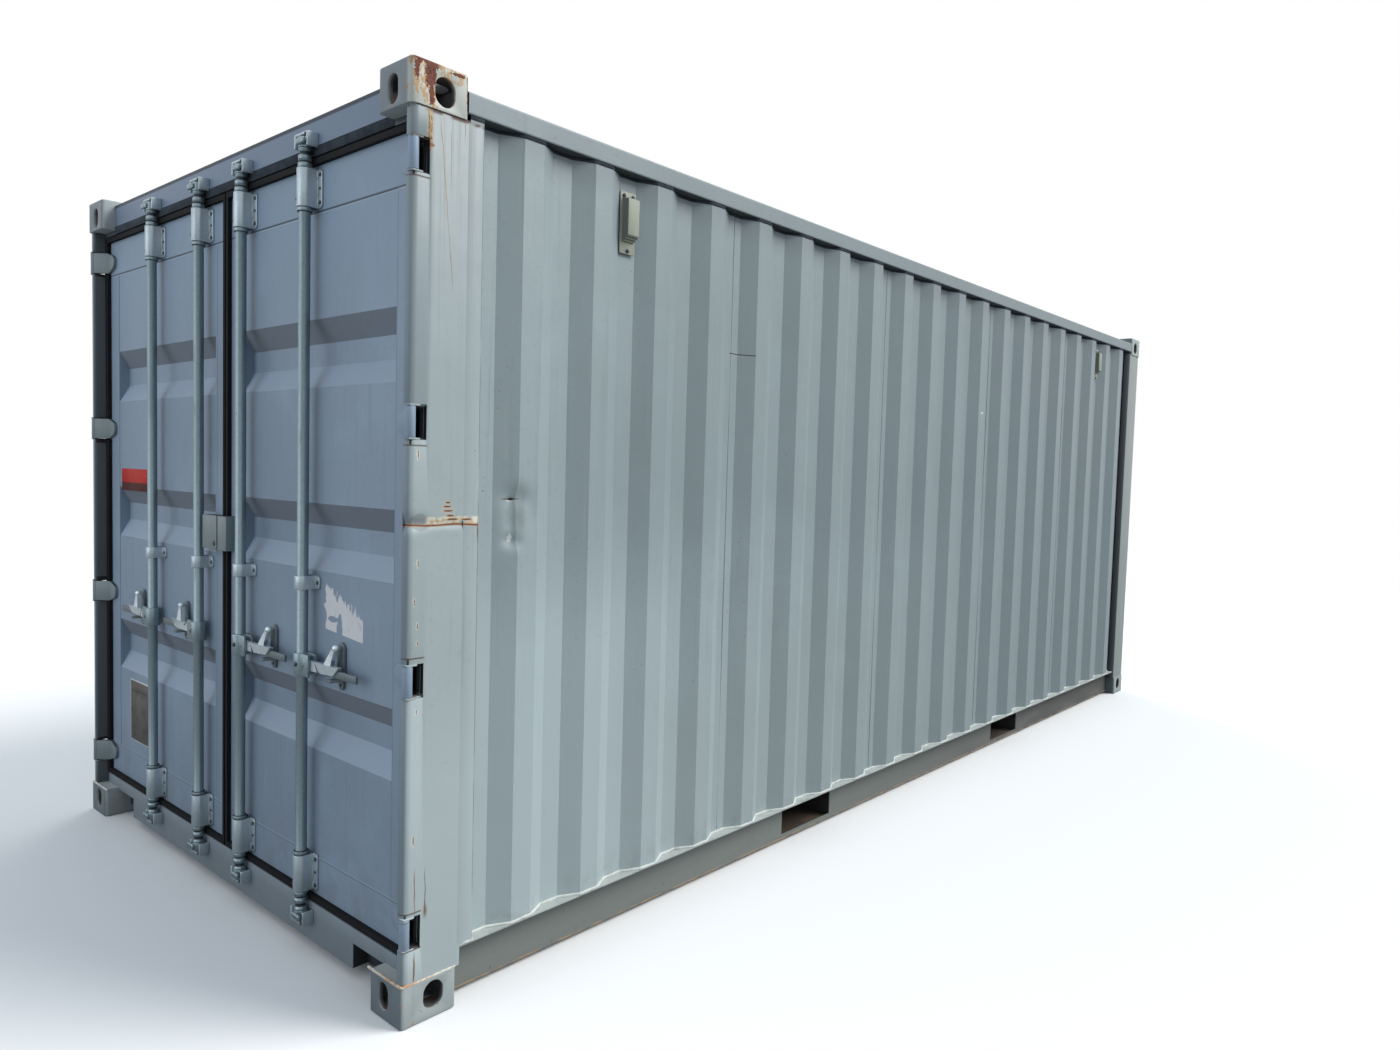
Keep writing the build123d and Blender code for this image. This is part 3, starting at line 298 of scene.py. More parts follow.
def weathered(name, colour, dust=(172, 176, 170), gloss=0.42, speckle=0.70, mirror=0.5):
    """Start a finish for painted steel: clouds, rain marks, dust and a few rust specks."""
    paint = Finish(name, colour, gloss, mirror=mirror)
    darker = [part * 0.86 for part in colour]
    lighter = [min(255, part * 1.07) for part in colour]
    paint.layer(paint.patches(0.9, 0.42, 0.68), darker, cover=0.45)
    paint.layer(paint.patches(0.35, 0.50, 0.72, shift=7), lighter, cover=0.55)
    paint.layer(paint.patches(0.018, 0.55, 0.75, detail=6), darker, 0.55, 0.30)
    paint.layer(paint.patches(0.05, 0.56, 0.74, (0.4, 0.4, 14), 5, 3), darker, 0.5, 0.40)
    paint.layer(paint.patches(0.03, 0.60, 0.78, (0.5, 0.5, 9), 5, 11), dust, 0.6, 0.35)
    settled = paint.both(paint.faces("z", 0.6, 0.95), paint.patches(0.12, 0.35, 0.65, shift=5))
    paint.layer(settled, dust, 0.75, 0.55)
    specks = paint.both(paint.patches(0.012, speckle, speckle + 0.03, detail=3, shift=2),
                        paint.patches(0.5, 0.48, 0.60, shift=9))
    paint.layer(specks, RUST, 0.8)
    paint.relief(paint.clouds(0.22, detail=2), 0.0035)
    paint.relief(paint.clouds(0.004, detail=2), 0.00006)
    return paint


# %% [markdown]
# ## The long sides
# The corrugated sheet is light grey. Its lower part is paler, partly with dust and partly with painted light
# from the ground, and a grimy line lies at its foot.
# Something hard left a small dark mark with a rusty rim in the first ridge, and a thin scratch further back.
# Each is one mask at its own place: a ragged spot for the mark, a narrow slice for the scratch.

# %% Wall paint
wall = weathered("wall_paint", (148, 163, 168))
# Paler low down: dust and painted light from the ground.
wall.layer(wall.along("z", 1.2, 0.3), (158, 171, 174), cover=0.55)
# Painted light low down near the doors, and painted shade at mid height near them.
wall.layer((wall.along("z", 1.4, 0.9), wall.along("y", -1.6, -2.4)), (170, 185, 190), cover=0.6)
wall.layer((wall.along("z", 1.0, 1.5), wall.along("y", -2.9, -2.0)), (128, 143, 148), cover=0.6)
wall.layer((wall.along("z", 0.28, 0.18), wall.patches(0.05, 0.48, 0.66)), (128, 132, 126), 0.7, 0.25)
# Painted shade: the sheet darkens towards the blind end.
wall.layer((wall.along("y", -2.2, 1.4), wall.along("z", 2.495, 2.485)), (128, 142, 148), cover=0.85)
# Painted shadow under the top rail, and painted shade on the rail's underside.
wall.layer(wall.along("z", 2.36, 2.48), (112, 122, 128), 0.6, 0.45)
wall.layer((wall.faces("z", -0.6, -0.9), wall.between("z", 2.485, 2.50, 0.002)), (42, 48, 52), 0.8, 0.92)
on_right = wall.along("x", 1.0, 1.1)
scratch_z = wall.math("ADD", wall.axis["z"], wall.math("MULTIPLY", wall.clouds(0.05), 0.006))
scratch = wall.rise(wall.off(scratch_z, 1.986), 0.0028, 0.0012)
wall.layer((scratch, wall.between("y", -1.660, -1.545, 0.004), on_right), (52, 56, 58), 0.6)
# The dent's painted shade, a painted highlight at its foot, the mark's rusty rim, the mark, and a pale chip far
# back.
for centre, radii, ragged, size, colour, roughness, cover in (
        ((1.20, -2.655, 1.395), (0.06, 0.030, 0.050), 0.8, 0.018, (128, 140, 142), 0.5, 0.35),
        ((1.20, -2.671, 1.330), (0.06, 0.007, 0.014), 1.1, 0.007, (214, 219, 214), 0.5, 0.8),
        ((1.20, -2.672, 1.446), (0.06, 0.026, 0.0035), 0.5, 0.01, (104, 84, 68), 0.8, 0.8),
        ((1.20, -2.667, 1.4455), (0.06, 0.008, 0.0035), 0.3, 0.01, (40, 34, 30), 0.8, 1.0),
        ((1.20, 0.435, 1.897), (0.05, 0.012, 0.006), 0.3, 0.01, (214, 218, 216), 0.6, 1.0)):
    wall.layer((wall.spot(centre, radii, ragged, size), on_right), colour, roughness, cover)
wall_paint = wall.done()

# %% [markdown]
# ## The paint of the corner posts
# The posts take the knocks. The near one has a rusty crease at chest height, chips along its front corner,
# and rust that has run down from the casting above it. Rust grows from bare steel, so each patch is drawn
# twice: a wide pale stain first, then a darker, smaller core on top.

# %% Post paint
HINGE_HEIGHTS = (0.2675, 0.968, 1.641, 2.3415)
POST_SIDE, CREASE_HEIGHT = 1.216, 1.377
PALE_STAIN, BROWN, OLD_BROWN = (172, 160, 130), (112, 66, 36), (84, 66, 54)

post = weathered("post_paint", (160, 173, 176), speckle=0.74)
# Painted shade darkens the post towards its top and at the blind end, and painted light from the ground makes
# it paler low down.
post.layer(post.along("z", 1.1, 2.1), (137, 151, 158), cover=0.85)
post.layer(post.along("z", 1.9, 2.4), (122, 136, 142), cover=0.8)
post.layer(post.along("z", 1.1, 0.5), (178, 192, 196), cover=0.85)
post.layer(post.along("y", 2.7, 2.8), (126, 132, 130), cover=0.6)
# Painted shade, a little bluer, on the faces turned to the doors.
post.layer(post.faces_doors(), (108, 124, 136), cover=0.88)
near = post.both(post.along("x", 1.0, 1.1), post.along("y", -2.7, -2.8))
rain_marks = post.patches(0.010, 0.56, 0.68, (1, 1, 70), 3, 4)
post.layer((rain_marks, post.along("z", 1.5, 2.3)), (132, 142, 136), 0.6, 0.5)
rust_marks = post.patches(0.006, 0.58, 0.66, (1, 1, 90), 3, 12)
post.layer((rust_marks, post.along("z", 1.9, 2.4), near), (150, 128, 100), 0.6, 0.35)
# Runs from the casting: place, top, bottom, width, lean and the core's colour.
for place, top, bottom, width, lean, shade in ((-2.975, 2.47, 2.37, 0.0026, 0.05, (140, 84, 48)),
                                               (-2.937, 2.44, 2.02, 0.0011, 0.10, (112, 98, 70)),
                                               (-2.906, 2.42, 2.26, 0.0008, 0.02, (116, 116, 100)),
                                               (-2.862, 2.47, 2.42, 0.0012, 0.0, (112, 98, 76))):
    post.layer((near, post.run("y", place, top, bottom, width * 2.6, 0.004, lean)), PALE_STAIN, 0.6, 0.30)
    post.layer((near, post.run("y", place, top, bottom, width, 0.004, lean)), shade, 0.75, 0.8)
post.layer((post.between("z", 2.463, 2.480, 0.004), post.patches(0.03, 0.42, 0.55)), DARK_RUST, 0.8, 0.85)
# Painted shade on the inner side of the door posts, and a dark line of painted shade in the gap beside the
# doors.
inner_side = post.rise(post.math("MULTIPLY", post.facing["x"], post.axis["x"]), -0.35, -0.75)
post.layer((inner_side, post.along("y", -2.90, -2.95)), (70, 77, 82), 0.6, 0.95)
post.layer((post.faces_doors(), post.along("y", -3.014, -3.006)), (34, 33, 40), 0.7, 0.95)
flange_line = post.between("y", -2.8010, -2.7980, 0.0006)
post.layer((flange_line, post.patches(0.06, 0.30, 0.50, (1, 1, 3), shift=5)), (84, 92, 92), 0.6, 0.8)

# The crease: painted shade where it is pushed in, a ragged pale patch above a thin rusty line, and small flakes
# above that.
crease = post.off(post.math("ADD", post.axis["z"], post.sway(0.012, 0.10, detail=2)), CREASE_HEIGHT)
on_crease = post.both(near, post.between("y", -3.02, -2.798, 0.004))
crease_shade = post.spot((POST_SIDE, -2.985, 1.385), (0.03, 0.036, 0.024), 0.25, 0.03)
post.layer((near, crease_shade), (128, 136, 138), 0.6, 0.7)
patch = post.both(near, post.between("z", 1.379, 1.399, 0.004),
                  post.patches(0.035, 0.36, 0.46, (1, 1, 0.35), shift=3),
                  post.between("y", -2.965, -2.80, 0.006))
post.layer(patch, (220, 216, 200), 0.6, 0.85)
post.layer((patch, post.patches(0.012, 0.50, 0.60, shift=8)), (190, 148, 102), 0.7, 0.7)
post.layer((on_crease, post.rise(crease, 0.0060, 0.0020)), RUST_STAIN, 0.7, 0.6)
post.layer((on_crease, post.rise(crease, 0.0030, 0.0016)), BROWN, 0.8, 0.95)
post.layer((near, post.run("y", -2.801, 1.380, 1.335, 0.0028, 0.002)), BROWN, 0.8, 0.9)
for y, z, wide in ((-2.900, 1.438, 0.008), (-2.902, 1.427, 0.013), (-2.898, 1.415, 0.017),
                   (-2.892, 1.402, 0.012), (-2.884, 1.392, 0.018), (-2.838, 1.391, 0.016)):
    for radii, colour, roughness, cover in (((0.03, wide * 1.5, 0.0052), (190, 172, 140), 0.7, 0.6),
                                            ((0.03, wide, 0.0026), (104, 60, 34), 0.8, 0.95)):
        post.layer((near, post.spot((POST_SIDE, y, z), radii, 0.3, 0.01)), colour, roughness, cover)

# Chips along the front corner: place, height and length.
for y, z, tall in ((-2.995, 1.566, 0.016), (-2.991, 1.274, 0.013), (-3.001, 1.172, 0.012),
                   (-2.991, 1.106, 0.011), (-2.990, 1.060, 0.008), (-2.991, 0.873, 0.009),
                   (-2.996, 0.520, 0.020)):
    pale = post.spot((1.213, y, z), (0.020, 0.0050, tall), 0.9, 0.005)
    post.layer((near, pale), (206, 208, 198), 0.6, 0.75)
    bare = post.spot((1.213, y + 0.001, z), (0.020, 0.0020, tall * 0.8), 0.9, 0.005)
    post.layer((near, bare), (122, 88, 68), 0.8, 0.9)

# Crumbly rust under the casting: place, top, bottom and width.
crumbly = post.patches(0.008, 0.44, 0.54, (1, 1, 2), 8, 2)
for place, top, bottom, width in ((-2.972, 2.500, 2.385, 0.0040), (-2.968, 2.500, 2.36, 0.0018),
                                  (-2.975, 2.44, 2.31, 0.0014)):
    post.layer((near, post.run("y", place, top, bottom, width * 2.6, 0.008)), (186, 166, 126), 0.7, 0.55)
    post.layer((near, crumbly, post.run("y", place, top, bottom, width, 0.010)), (108, 66, 40), 0.8, 0.9)
rust_foot = post.spot((POST_SIDE, -2.965, 2.378), (0.03, 0.010, 0.005), 0.6, 0.012)
post.layer((near, crumbly, rust_foot), (142, 90, 54), 0.8, 0.9)
joint = post.both(near, post.between("z", 2.4690, 2.4730, 0.0012), post.between("y", -3.010, -2.846, 0.004))
post.layer(joint, (74, 56, 44), 0.8, 0.9)

# Each hinge window is painted dark as the shade inside an opening, with a dirty joint above and below it.
for hinge in HINGE_HEIGHTS:
    window = post.both(post.between("z", hinge - 0.0500, hinge + 0.0500, 0.0015),
                       post.rise(post.math("ABSOLUTE", post.axis["x"]), 1.2140, 1.2128))
    post.layer((window, post.between("y", -3.0175, -2.9620, 0.0015)), (24, 24, 30), 0.85, 0.95)
    for gap in (hinge - 0.0515, hinge + 0.0515):
        joint = post.both(near, post.between("z", gap - 0.0022, gap + 0.0022, 0.0010),
                          post.between("y", -3.024, -2.968, 0.004))
        post.layer((joint, post.patches(0.03, 0.30, 0.42, shift=9)), OLD_BROWN, 0.8, 0.8)

# Short runs above and below the lowest window: place, top, bottom, width and the core's colour.
for place, top, bottom, width, shade in ((-2.989, 0.43, 0.31, 0.0012, (126, 84, 64)),
                                         (-2.957, 0.425, 0.312, 0.0013, (62, 40, 38)),
                                         (-2.988, 0.195, 0.125, 0.0030, (92, 60, 42)),
                                         (-2.956, 0.324, 0.304, 0.0060, (82, 54, 40))):
    post.layer((near, post.run("y", place, top, bottom, width * 2.2, 0.005)), (172, 150, 124), 0.7, 0.45)
    post.layer((near, post.run("y", place, top, bottom, width, 0.005)), shade, 0.8, 0.95)
post_paint = post.done()

# %% [markdown]
# ## The doors
# The doors' colour is the walls' paint darkened and blued as painted shade. Painted sky light makes the top
# brighter and bluer, and the foot is darker with dirt and painted shade.
# A torn paper sticker left white scraps on the right door. It could be a sheet of its own, but paper this thin
# has no edge worth modelling, so it is a mask: its top is torn by noise that is stretched upright, like flames.
# The same finish paints shade into the notches at the sill's ends, and draws lines of painted shade along the
# header's edges and folds and of painted shade and highlight at the welds.

# %% Door paint
door = weathered("door_paint", (128, 146, 166), dust=(150, 158, 166), gloss=0.52, speckle=0.74)
# Painted sky light brightens the top; the foot is darker with dirt and painted shade.
door.layer(door.along("z", 1.7, 2.4), (128, 150, 173), cover=0.6)
door.layer((door.along("z", 0.5, 0.16), door.patches(0.10, 0.40, 0.65, shift=1)), (112, 120, 128), 0.65, 0.5)
# Painted shade on what faces down, and painted sky light on what faces up.
door.layer(door.faces("z", -0.25, -0.5), (96, 98, 104), 0.6, 0.65)
door.layer(door.faces("z", 0.25, 0.5), (150, 166, 186), 0.55, 0.6)
flames = door.sway(0.13, 0.013, (1, 1, 5), 4)
slope = door.math("MULTIPLY", door.math("SUBTRACT", door.axis["x"], 0.72), 0.40)
torn_top = door.rise(door.math("ADD", door.math("ADD", door.axis["z"], flames), slope), 1.150, 1.146)
fibres = door.math("MULTIPLY", door.clouds(0.04, shift=3), 0.05)
ragged_left = door.rise(door.math("ADD", door.axis["x"], fibres), 0.702, 0.706)
foot = door.rise(door.math("ADD", door.axis["z"], door.math("MULTIPLY", door.axis["x"], 0.08)), 1.0825, 1.0840)
paper = door.both(torn_top, ragged_left, foot, door.along("x", 0.8965, 0.8955), door.faces_doors(),
                  door.along("y", -2.955, -2.962))
arch = door.either(door.spot((0.762, -2.966, 1.030), (0.018, 0.05, 0.052), 0.35, 0.02),
                   door.spot((0.722, -2.966, 1.062), (0.034, 0.05, 0.010), 0.5, 0.02))
paper = door.both(paper, door.math("SUBTRACT", 1.0, arch))
door.layer(paper, (206, 207, 212), 0.7)
door.layer((paper, door.patches(0.03, 0.55, 0.70, shift=8)), (176, 182, 190), 0.7, 0.6)
door.layer(door.along("z", 0.175, 0.165), (122, 131, 136), cover=0.7)
door.layer(door.along("z", 2.470, 2.480), (102, 118, 142), cover=0.75)
# Painted shade inside the notches at the sill's ends.
notch = door.both(door.span(door.math("ABSOLUTE", door.axis["x"]), 0.872, 1.0580, 0.0015),
                  door.between("y", -2.9765, -2.86, 0.0015))
door.layer((notch, door.between("z", 0.025, 0.1135, 0.0012)), (20, 22, 26), 0.9, 0.97)
# Painted shadow along the header's top edge and in the band under it.
header_shade_lines = door.either(door.along("z", 2.556, 2.562), door.between("z", 2.440, 2.478, 0.003))
door.layer(header_shade_lines, (46, 53, 62), 0.65, 0.9)
# Painted shade along the folds.
mirrored_x = door.math("ABSOLUTE", door.axis["x"])
fold = door.either(door.rise(door.off(mirrored_x, 1.060), 0.0034, 0.0016),
                   door.rise(door.off(mirrored_x, 0.098), 0.0034, 0.0016))
door.layer((fold, door.between("z", 0.302, 2.292, 0.002)), (84, 96, 110), 0.6, 0.45)
# Painted shade and painted highlight along the welds at the top and foot of the panel.
for low, high, colour in ((2.2925, 2.2980, (50, 58, 68)), (2.2885, 2.2915, (150, 168, 186)),
                          (0.3000, 0.3030, (150, 164, 176)), (0.2965, 0.2990, (84, 94, 104))):
    weld = door.both(door.between("z", low, high, 0.0010), door.patches(0.05, 0.10, 0.30, shift=6))
    door.layer(weld, colour, 0.6, 0.85)
door_paint = door.done()

# %% [markdown]
# ## Corner castings
# Castings are lifted and lashed by steel hooks, so their paint is chipped and rusty. Their inside is painted
# dark as shade.
# Rust on the near top casting is heavy and has run down over the pale side face. The others get rust
# from noise alone, because nobody sees where exactly theirs is.

# %% Casting paint
CASTING_SIDE = 1.219
casting = weathered("casting_paint", (160, 170, 172), speckle=0.70)
# Painted shade, a little bluer, on the faces turned to the doors.
casting.layer(casting.faces_doors(), (95, 107, 117), cover=0.9)
rust_noise = casting.clouds(0.045, detail=6, shift=3)
casting.layer(casting.rise(rust_noise, 0.64, 0.72), RUST_STAIN, 0.7, 0.5)
casting.layer(casting.rise(rust_noise, 0.70, 0.73), RUST, 0.8)
bare_top = casting.both(casting.faces("z", 0.7, 0.9), casting.along("z", 2.3, 2.4))
casting.layer((bare_top, casting.rise(rust_noise, 0.42, 0.55)), DARK_RUST, 0.8, 0.8)
near = casting.both(casting.along("x", 1.19, 1.21), casting.along("y", -2.80, -2.84),
                    casting.along("z", 2.4, 2.45))
casting.layer(near, (186, 190, 182), 0.5, 0.75)
drips = casting.math("MULTIPLY", casting.clouds(0.010, (1, 1, 9), 4, 6), 0.055)
crumbs = casting.sway(0.020, 0.005, detail=8, shift=4)
top_line = casting.math("ADD", casting.math("ADD", casting.axis["z"], drips), crumbs)
patchy = casting.patches(0.008, 0.44, 0.52, (1, 1, 2.5), 8, 2)


def blots(*rows):
    """Mask ragged blots on the side face, from place, height, two radii, raggedness and noise size."""
    return [casting.spot((CASTING_SIDE, y, z), (0.06, wide, tall), ragged, size)
            for y, z, wide, tall, ragged, size in rows]


stain = casting.either(casting.rise(top_line, 2.596, 2.601),
                       *blots((-2.973, 2.538, 0.034, 0.058, 0.9, 0.008),
                              (-2.962, 2.486, 0.012, 0.026, 0.9, 0.008),
                              (-2.905, 2.566, 0.040, 0.014, 0.9, 0.008),
                              (-3.015, 2.528, 0.009, 0.044, 0.9, 0.006)))
casting.layer((near, stain, patchy), (184, 140, 84), 0.7, 0.8)
top_edge = casting.both(casting.rise(top_line, 2.602, 2.605), casting.between("y", -3.024, -2.945, 0.01))
core = casting.either(top_edge, *blots((-2.972, 2.556, 0.018, 0.042, 0.7, 0.008),
                                       (-2.969, 2.505, 0.009, 0.028, 0.9, 0.008),
                                       (-3.013, 2.560, 0.007, 0.030, 0.8, 0.006),
                                       (-2.886, 2.580, 0.024, 0.005, 0.9, 0.006),
                                       (-2.855, 2.538, 0.0045, 0.052, 0.9, 0.006)))
casting.layer((near, core), (106, 48, 30), 0.85, 0.95)
casting.layer((near, core, casting.patches(0.006, 0.54, 0.60, detail=6, shift=9)), (58, 30, 26), 0.9, 0.8)
# Painted shade inside the holes, with rust in it.
depth_x, depth_y = (casting.math("ABSOLUTE", casting.axis[axis]) for axis in "xy")
inside = casting.both(casting.span(depth_x, 1.0625, 1.2125, 0.0035),
                      casting.span(depth_y, 2.8565, 3.0225, 0.0035),
                      casting.either(casting.between("z", 0.006, 0.112, 0.003),
                                     casting.between("z", 2.479, 2.585, 0.003)))
casting.layer(inside, (66, 62, 62), 0.8, 0.85)
casting.layer((inside, casting.rise(rust_noise, 0.50, 0.62)), (104, 66, 48), 0.85, 0.7)
casting.relief(rust_noise, 0.0012)
casting_paint = casting.done()

# %% [markdown]
# ## Galvanised lock gear
# Rods, brackets and handles are dipped in zinc, which dries to a dull grey with faint crystal flakes.
# Voronoi cells give flakes, each with its own shade, and dirt collects in upright runs.
# One function makes them all: greyer on the drawn rods, brighter on brackets and handles, dull on the retainers
# and dark on the bolts. The rods also get lines of painted shade where their rings meet.

# %% Zinc
ROD_GROOVES = ((2.4178, 2.4202), (2.4338, 2.4392), (2.4568, 2.4672), (2.3005, 2.3030), (2.2885, 2.2905),
               (0.1938, 0.1962), (0.1748, 0.1802), (0.1468, 0.1572), (0.3110, 0.3135), (0.3235, 0.3255))


def zinc_coat(name, colour, gloss, metal, grooves=(), grain=0.0002):
    """Make a zinc finish: crystal flakes, dull patches, upright dirt, rust freckles and painted shade in
    grooves.
    """
    zinc = Finish(name, colour, gloss, metal)
    flakes = zinc.add("ShaderNodeTexVoronoi", {"Vector": zinc.place, "Scale": 140})
    shades = zinc.add("ShaderNodeSeparateColor", {0: flakes.outputs["Color"]})
    dull, worn, dirt = ([part * share for part in colour] for share in (0.90, 0.88, 0.72))
    zinc.layer(zinc.rise(shades.outputs[0], 0.2, 0.9), dull, gloss + 0.06, 0.35)
    zinc.layer(zinc.patches(0.10, 0.48, 0.70, (0.5, 0.5, 4)), worn, gloss + 0.10, 0.5)
    zinc.layer(zinc.patches(0.02, 0.60, 0.74, (0.6, 0.6, 6), 5, 5), dirt, gloss + 0.2, 0.5)
    freckles = zinc.both(zinc.patches(0.010, 0.68, 0.73, shift=4), zinc.patches(0.3, 0.5, 0.6, shift=6))
    zinc.layer(freckles, DARK_RUST, 0.8, 0.8)
    # Painted shade in the grooves where the rings meet.
    for low, high in grooves:
        zinc.layer(zinc.between("z", low, high, 0.0006), (40, 46, 54), 0.7, 0.9)
    zinc.relief(zinc.clouds(0.006, detail=3), grain)
    return zinc.done()


rod_zinc = zinc_coat("rod_zinc", (134, 152, 160), 0.34, 0.62, ROD_GROOVES, grain=0.00003)
fitting_zinc = zinc_coat("fitting_zinc", (176, 191, 200), 0.32, 0.45)
dull_zinc = zinc_coat("dull_zinc", (108, 120, 126), 0.42, 0.45)
bolt_steel = zinc_coat("bolt_steel", (58, 64, 70), 0.45, 0.35)
grip_zinc = zinc_coat("grip_zinc", (204, 217, 224), 0.28, 0.60)

# %% [markdown]
# ## Rubber, plywood, plastic and small plates
# The door gaskets are black rubber, greyed by dust. The floor is plywood laid in sheets across the length.
# The vents are moulded plastic. Rails, fork pockets, lock case, film, sealant and welds follow.
# Each needs only a few layers, but none is left as one flat colour.

# %% Small finishes
rubber = Finish("gasket_rubber", (24, 26, 28), 0.75, mirror=0.12)
rubber.layer(rubber.patches(0.08, 0.50, 0.75), (38, 41, 45), 0.85, 0.6)
rubber.layer(rubber.patches(0.01, 0.64, 0.78, detail=3), (66, 68, 68), 0.9, 0.3)
rubber.relief(rubber.clouds(0.004), 0.0002)
rubber_finish = rubber.done()

wood = Finish("floor_plywood", (138, 104, 70), 0.65)
wood.layer(wood.patches(0.012, 0.45, 0.62, (30, 1, 1), 6), (108, 78, 50), 0.7, 0.6)
wood.layer(wood.patches(0.25, 0.45, 0.70, shift=3), (92, 72, 54), 0.75, 0.6)
sheet = wood.off(wood.math("FRACT", wood.math("MULTIPLY", wood.axis["y"], 1 / 1.165)), 0.5)
middle_joint = wood.rise(wood.math("ABSOLUTE", wood.axis["x"]), 0.003, 0.001)
wood.layer(wood.either(wood.rise(sheet, 0.003, 0.001), middle_joint), (34, 28, 24), 0.9)
wood.layer(wood.patches(0.02, 0.66, 0.72, (1, 12, 1), 4, 8), (70, 54, 42), 0.8, 0.6)
wood.relief(wood.clouds(0.006, (20, 1, 1)), 0.0004)
wood_finish = wood.done()

plastic = Finish("vent_plastic", (148, 155, 142), 0.6)
plastic.layer(plastic.patches(0.04, 0.45, 0.70, (1, 1, 4)), (134, 141, 128), 0.7, 0.6)
plastic.layer(plastic.patches(0.01, 0.62, 0.75, shift=2), (112, 110, 100), 0.8, 0.5)
# Painted shade on the faces turned to the doors.
plastic.layer(plastic.faces_doors(), (92, 99, 94), 0.7, 0.8)
# Painted shade under the louvres, in stripes one slat apart, on what faces down.
slats = plastic.math("SINE", plastic.math("MULTIPLY", plastic.axis["z"], 2 * math.pi / 0.0065))
plastic.layer((plastic.faces("z", -0.2, -0.4), plastic.rise(slats, -0.3, 0.3)), (70, 74, 70), 0.8, 0.8)
plastic.relief(plastic.clouds(0.003), 0.0001)
plastic_finish = plastic.done()

plate = Finish("plate_metal", (90, 86, 84), 0.45, 0.3)
plate.layer(plate.patches(0.05, 0.45, 0.65), (72, 66, 64), 0.55, 0.7)
plate.layer(plate.patches(0.008, 0.60, 0.72, (1, 1, 5)), (130, 126, 118), 0.6, 0.4)
# A painted highlight along the plate's edges.
rim = plate.either(plate.along("x", -0.9385, -0.9395), plate.along("x", -0.7485, -0.7475),
                   plate.along("z", 0.3570, 0.3562), plate.along("z", 0.6040, 0.6048))
plate.layer(rim, (206, 210, 212), 0.5, 0.9)
plate_finish = plate.done()

film = Finish("red_film", (182, 30, 20), 0.5, mirror=0.2)
film.layer(film.patches(0.04, 0.45, 0.70), (142, 26, 22), 0.5, 0.6)
film.layer(film.along("z", 1.4280, 1.4268), (66, 24, 24), 0.5, 0.95)
film.layer(film.between("z", 1.4275, 1.4295, 0.0004), (40, 26, 26), 0.5)
film.layer(film.patches(0.012, 0.66, 0.72, shift=3), (205, 190, 184), 0.6, 0.6)
film_finish = film.done()

sealant = Finish("pale_sealant", (208, 213, 210), 0.5)
sealant.layer(sealant.patches(0.03, 0.48, 0.70), (172, 178, 174), 0.6, 0.6)
sealant.layer(sealant.patches(0.010, 0.62, 0.72, shift=2), (116, 110, 98), 0.7, 0.6)
sealant.relief(sealant.clouds(0.01), 0.0015)
sealant_finish = sealant.done()

# A dark finish that paints shade: under the top rail, on the header's lower fold and behind the sill's notches.
gap = Finish("painted_gap_shade", (46, 52, 60), 0.8, mirror=0.12)
gap.layer(gap.patches(0.05, 0.45, 0.65), (64, 72, 80), 0.8, 0.6)
painted_gap_shade = gap.done()

rail = weathered("rail_paint", (152, 163, 166), speckle=0.72)
# Painted shade on the web under the flange, darker further back.
rail.layer(rail.along("z", 0.168, 0.160), (116, 123, 120), cover=0.9)
far = rail.along("y", -1.6, 2.2)
rail.layer((rail.along("z", 0.166, 0.150), far), (66, 66, 68), 0.7, 0.85)
splash = rail.both(rail.along("z", 0.150, 0.020), rail.patches(0.30, 0.40, 0.70, (1, 1, 0.2), shift=6))
rail.layer(splash, (112, 114, 110), 0.75, 0.5)
rail.layer((rail.along("z", 0.026, 0.018), rail.patches(0.05, 0.36, 0.60, shift=3)), (182, 150, 112), 0.75, 0.8)
rail.layer((rail.patches(0.02, 0.66, 0.72, shift=2), rail.along("z", 0.10, 0.02)), RUST, 0.8, 0.6)
dusty_lip = rail.both(rail.between("z", 0.168, 0.180, 0.003), rail.patches(0.05, 0.30, 0.50, shift=8))
rail.layer(dusty_lip, (176, 183, 180), 0.55, 0.7)
rail_paint = rail.done()

pocket = weathered("pocket_paint", (60, 60, 60), dust=(110, 98, 84), gloss=0.7, mirror=0.12)
settled = pocket.both(pocket.faces("z", 0.5, 0.9), pocket.patches(0.05, 0.35, 0.55, (3, 1, 1)))
pocket.layer(settled, (92, 78, 66), 0.85, 0.6)
pocket.layer(pocket.along("z", 0.09, 0.13), (22, 22, 22), 0.8, 0.9)
pocket_paint = pocket.done()

lock_case = weathered("lock_case_paint", (112, 126, 130), dust=(140, 146, 148), speckle=0.7)
lock_case.layer(lock_case.faces("z", 0.5, 0.9), (40, 46, 52), 0.6, 0.8)
lock_case_paint = lock_case.done()

weld = Finish("weld_metal", (208, 205, 192), 0.5)
weld.layer(weld.patches(0.02, 0.45, 0.65), (178, 180, 172), 0.6, 0.6)
corner_rust = weld.both(weld.along("x", 1.05, 1.20), weld.along("y", -2.90, -2.99),
                        weld.patches(0.012, 0.40, 0.52, detail=6, shift=4))
weld.layer(corner_rust, (192, 136, 84), 0.75, 0.9)
weld.layer(weld.patches(0.006, 0.62, 0.68, detail=5, shift=2), (92, 60, 42), 0.8, 0.8)
weld.relief(weld.clouds(0.006), 0.001)
weld_metal = weld.done()

# %% [markdown]
# ## Which finish goes where
# A CAD node that keeps its own mesh only needs its material swapped.
# One table by the start of the name is easier to check than forty assignments. Where two starts fit a node,
# the later one counts, so the brackets don't take the rods' finish.

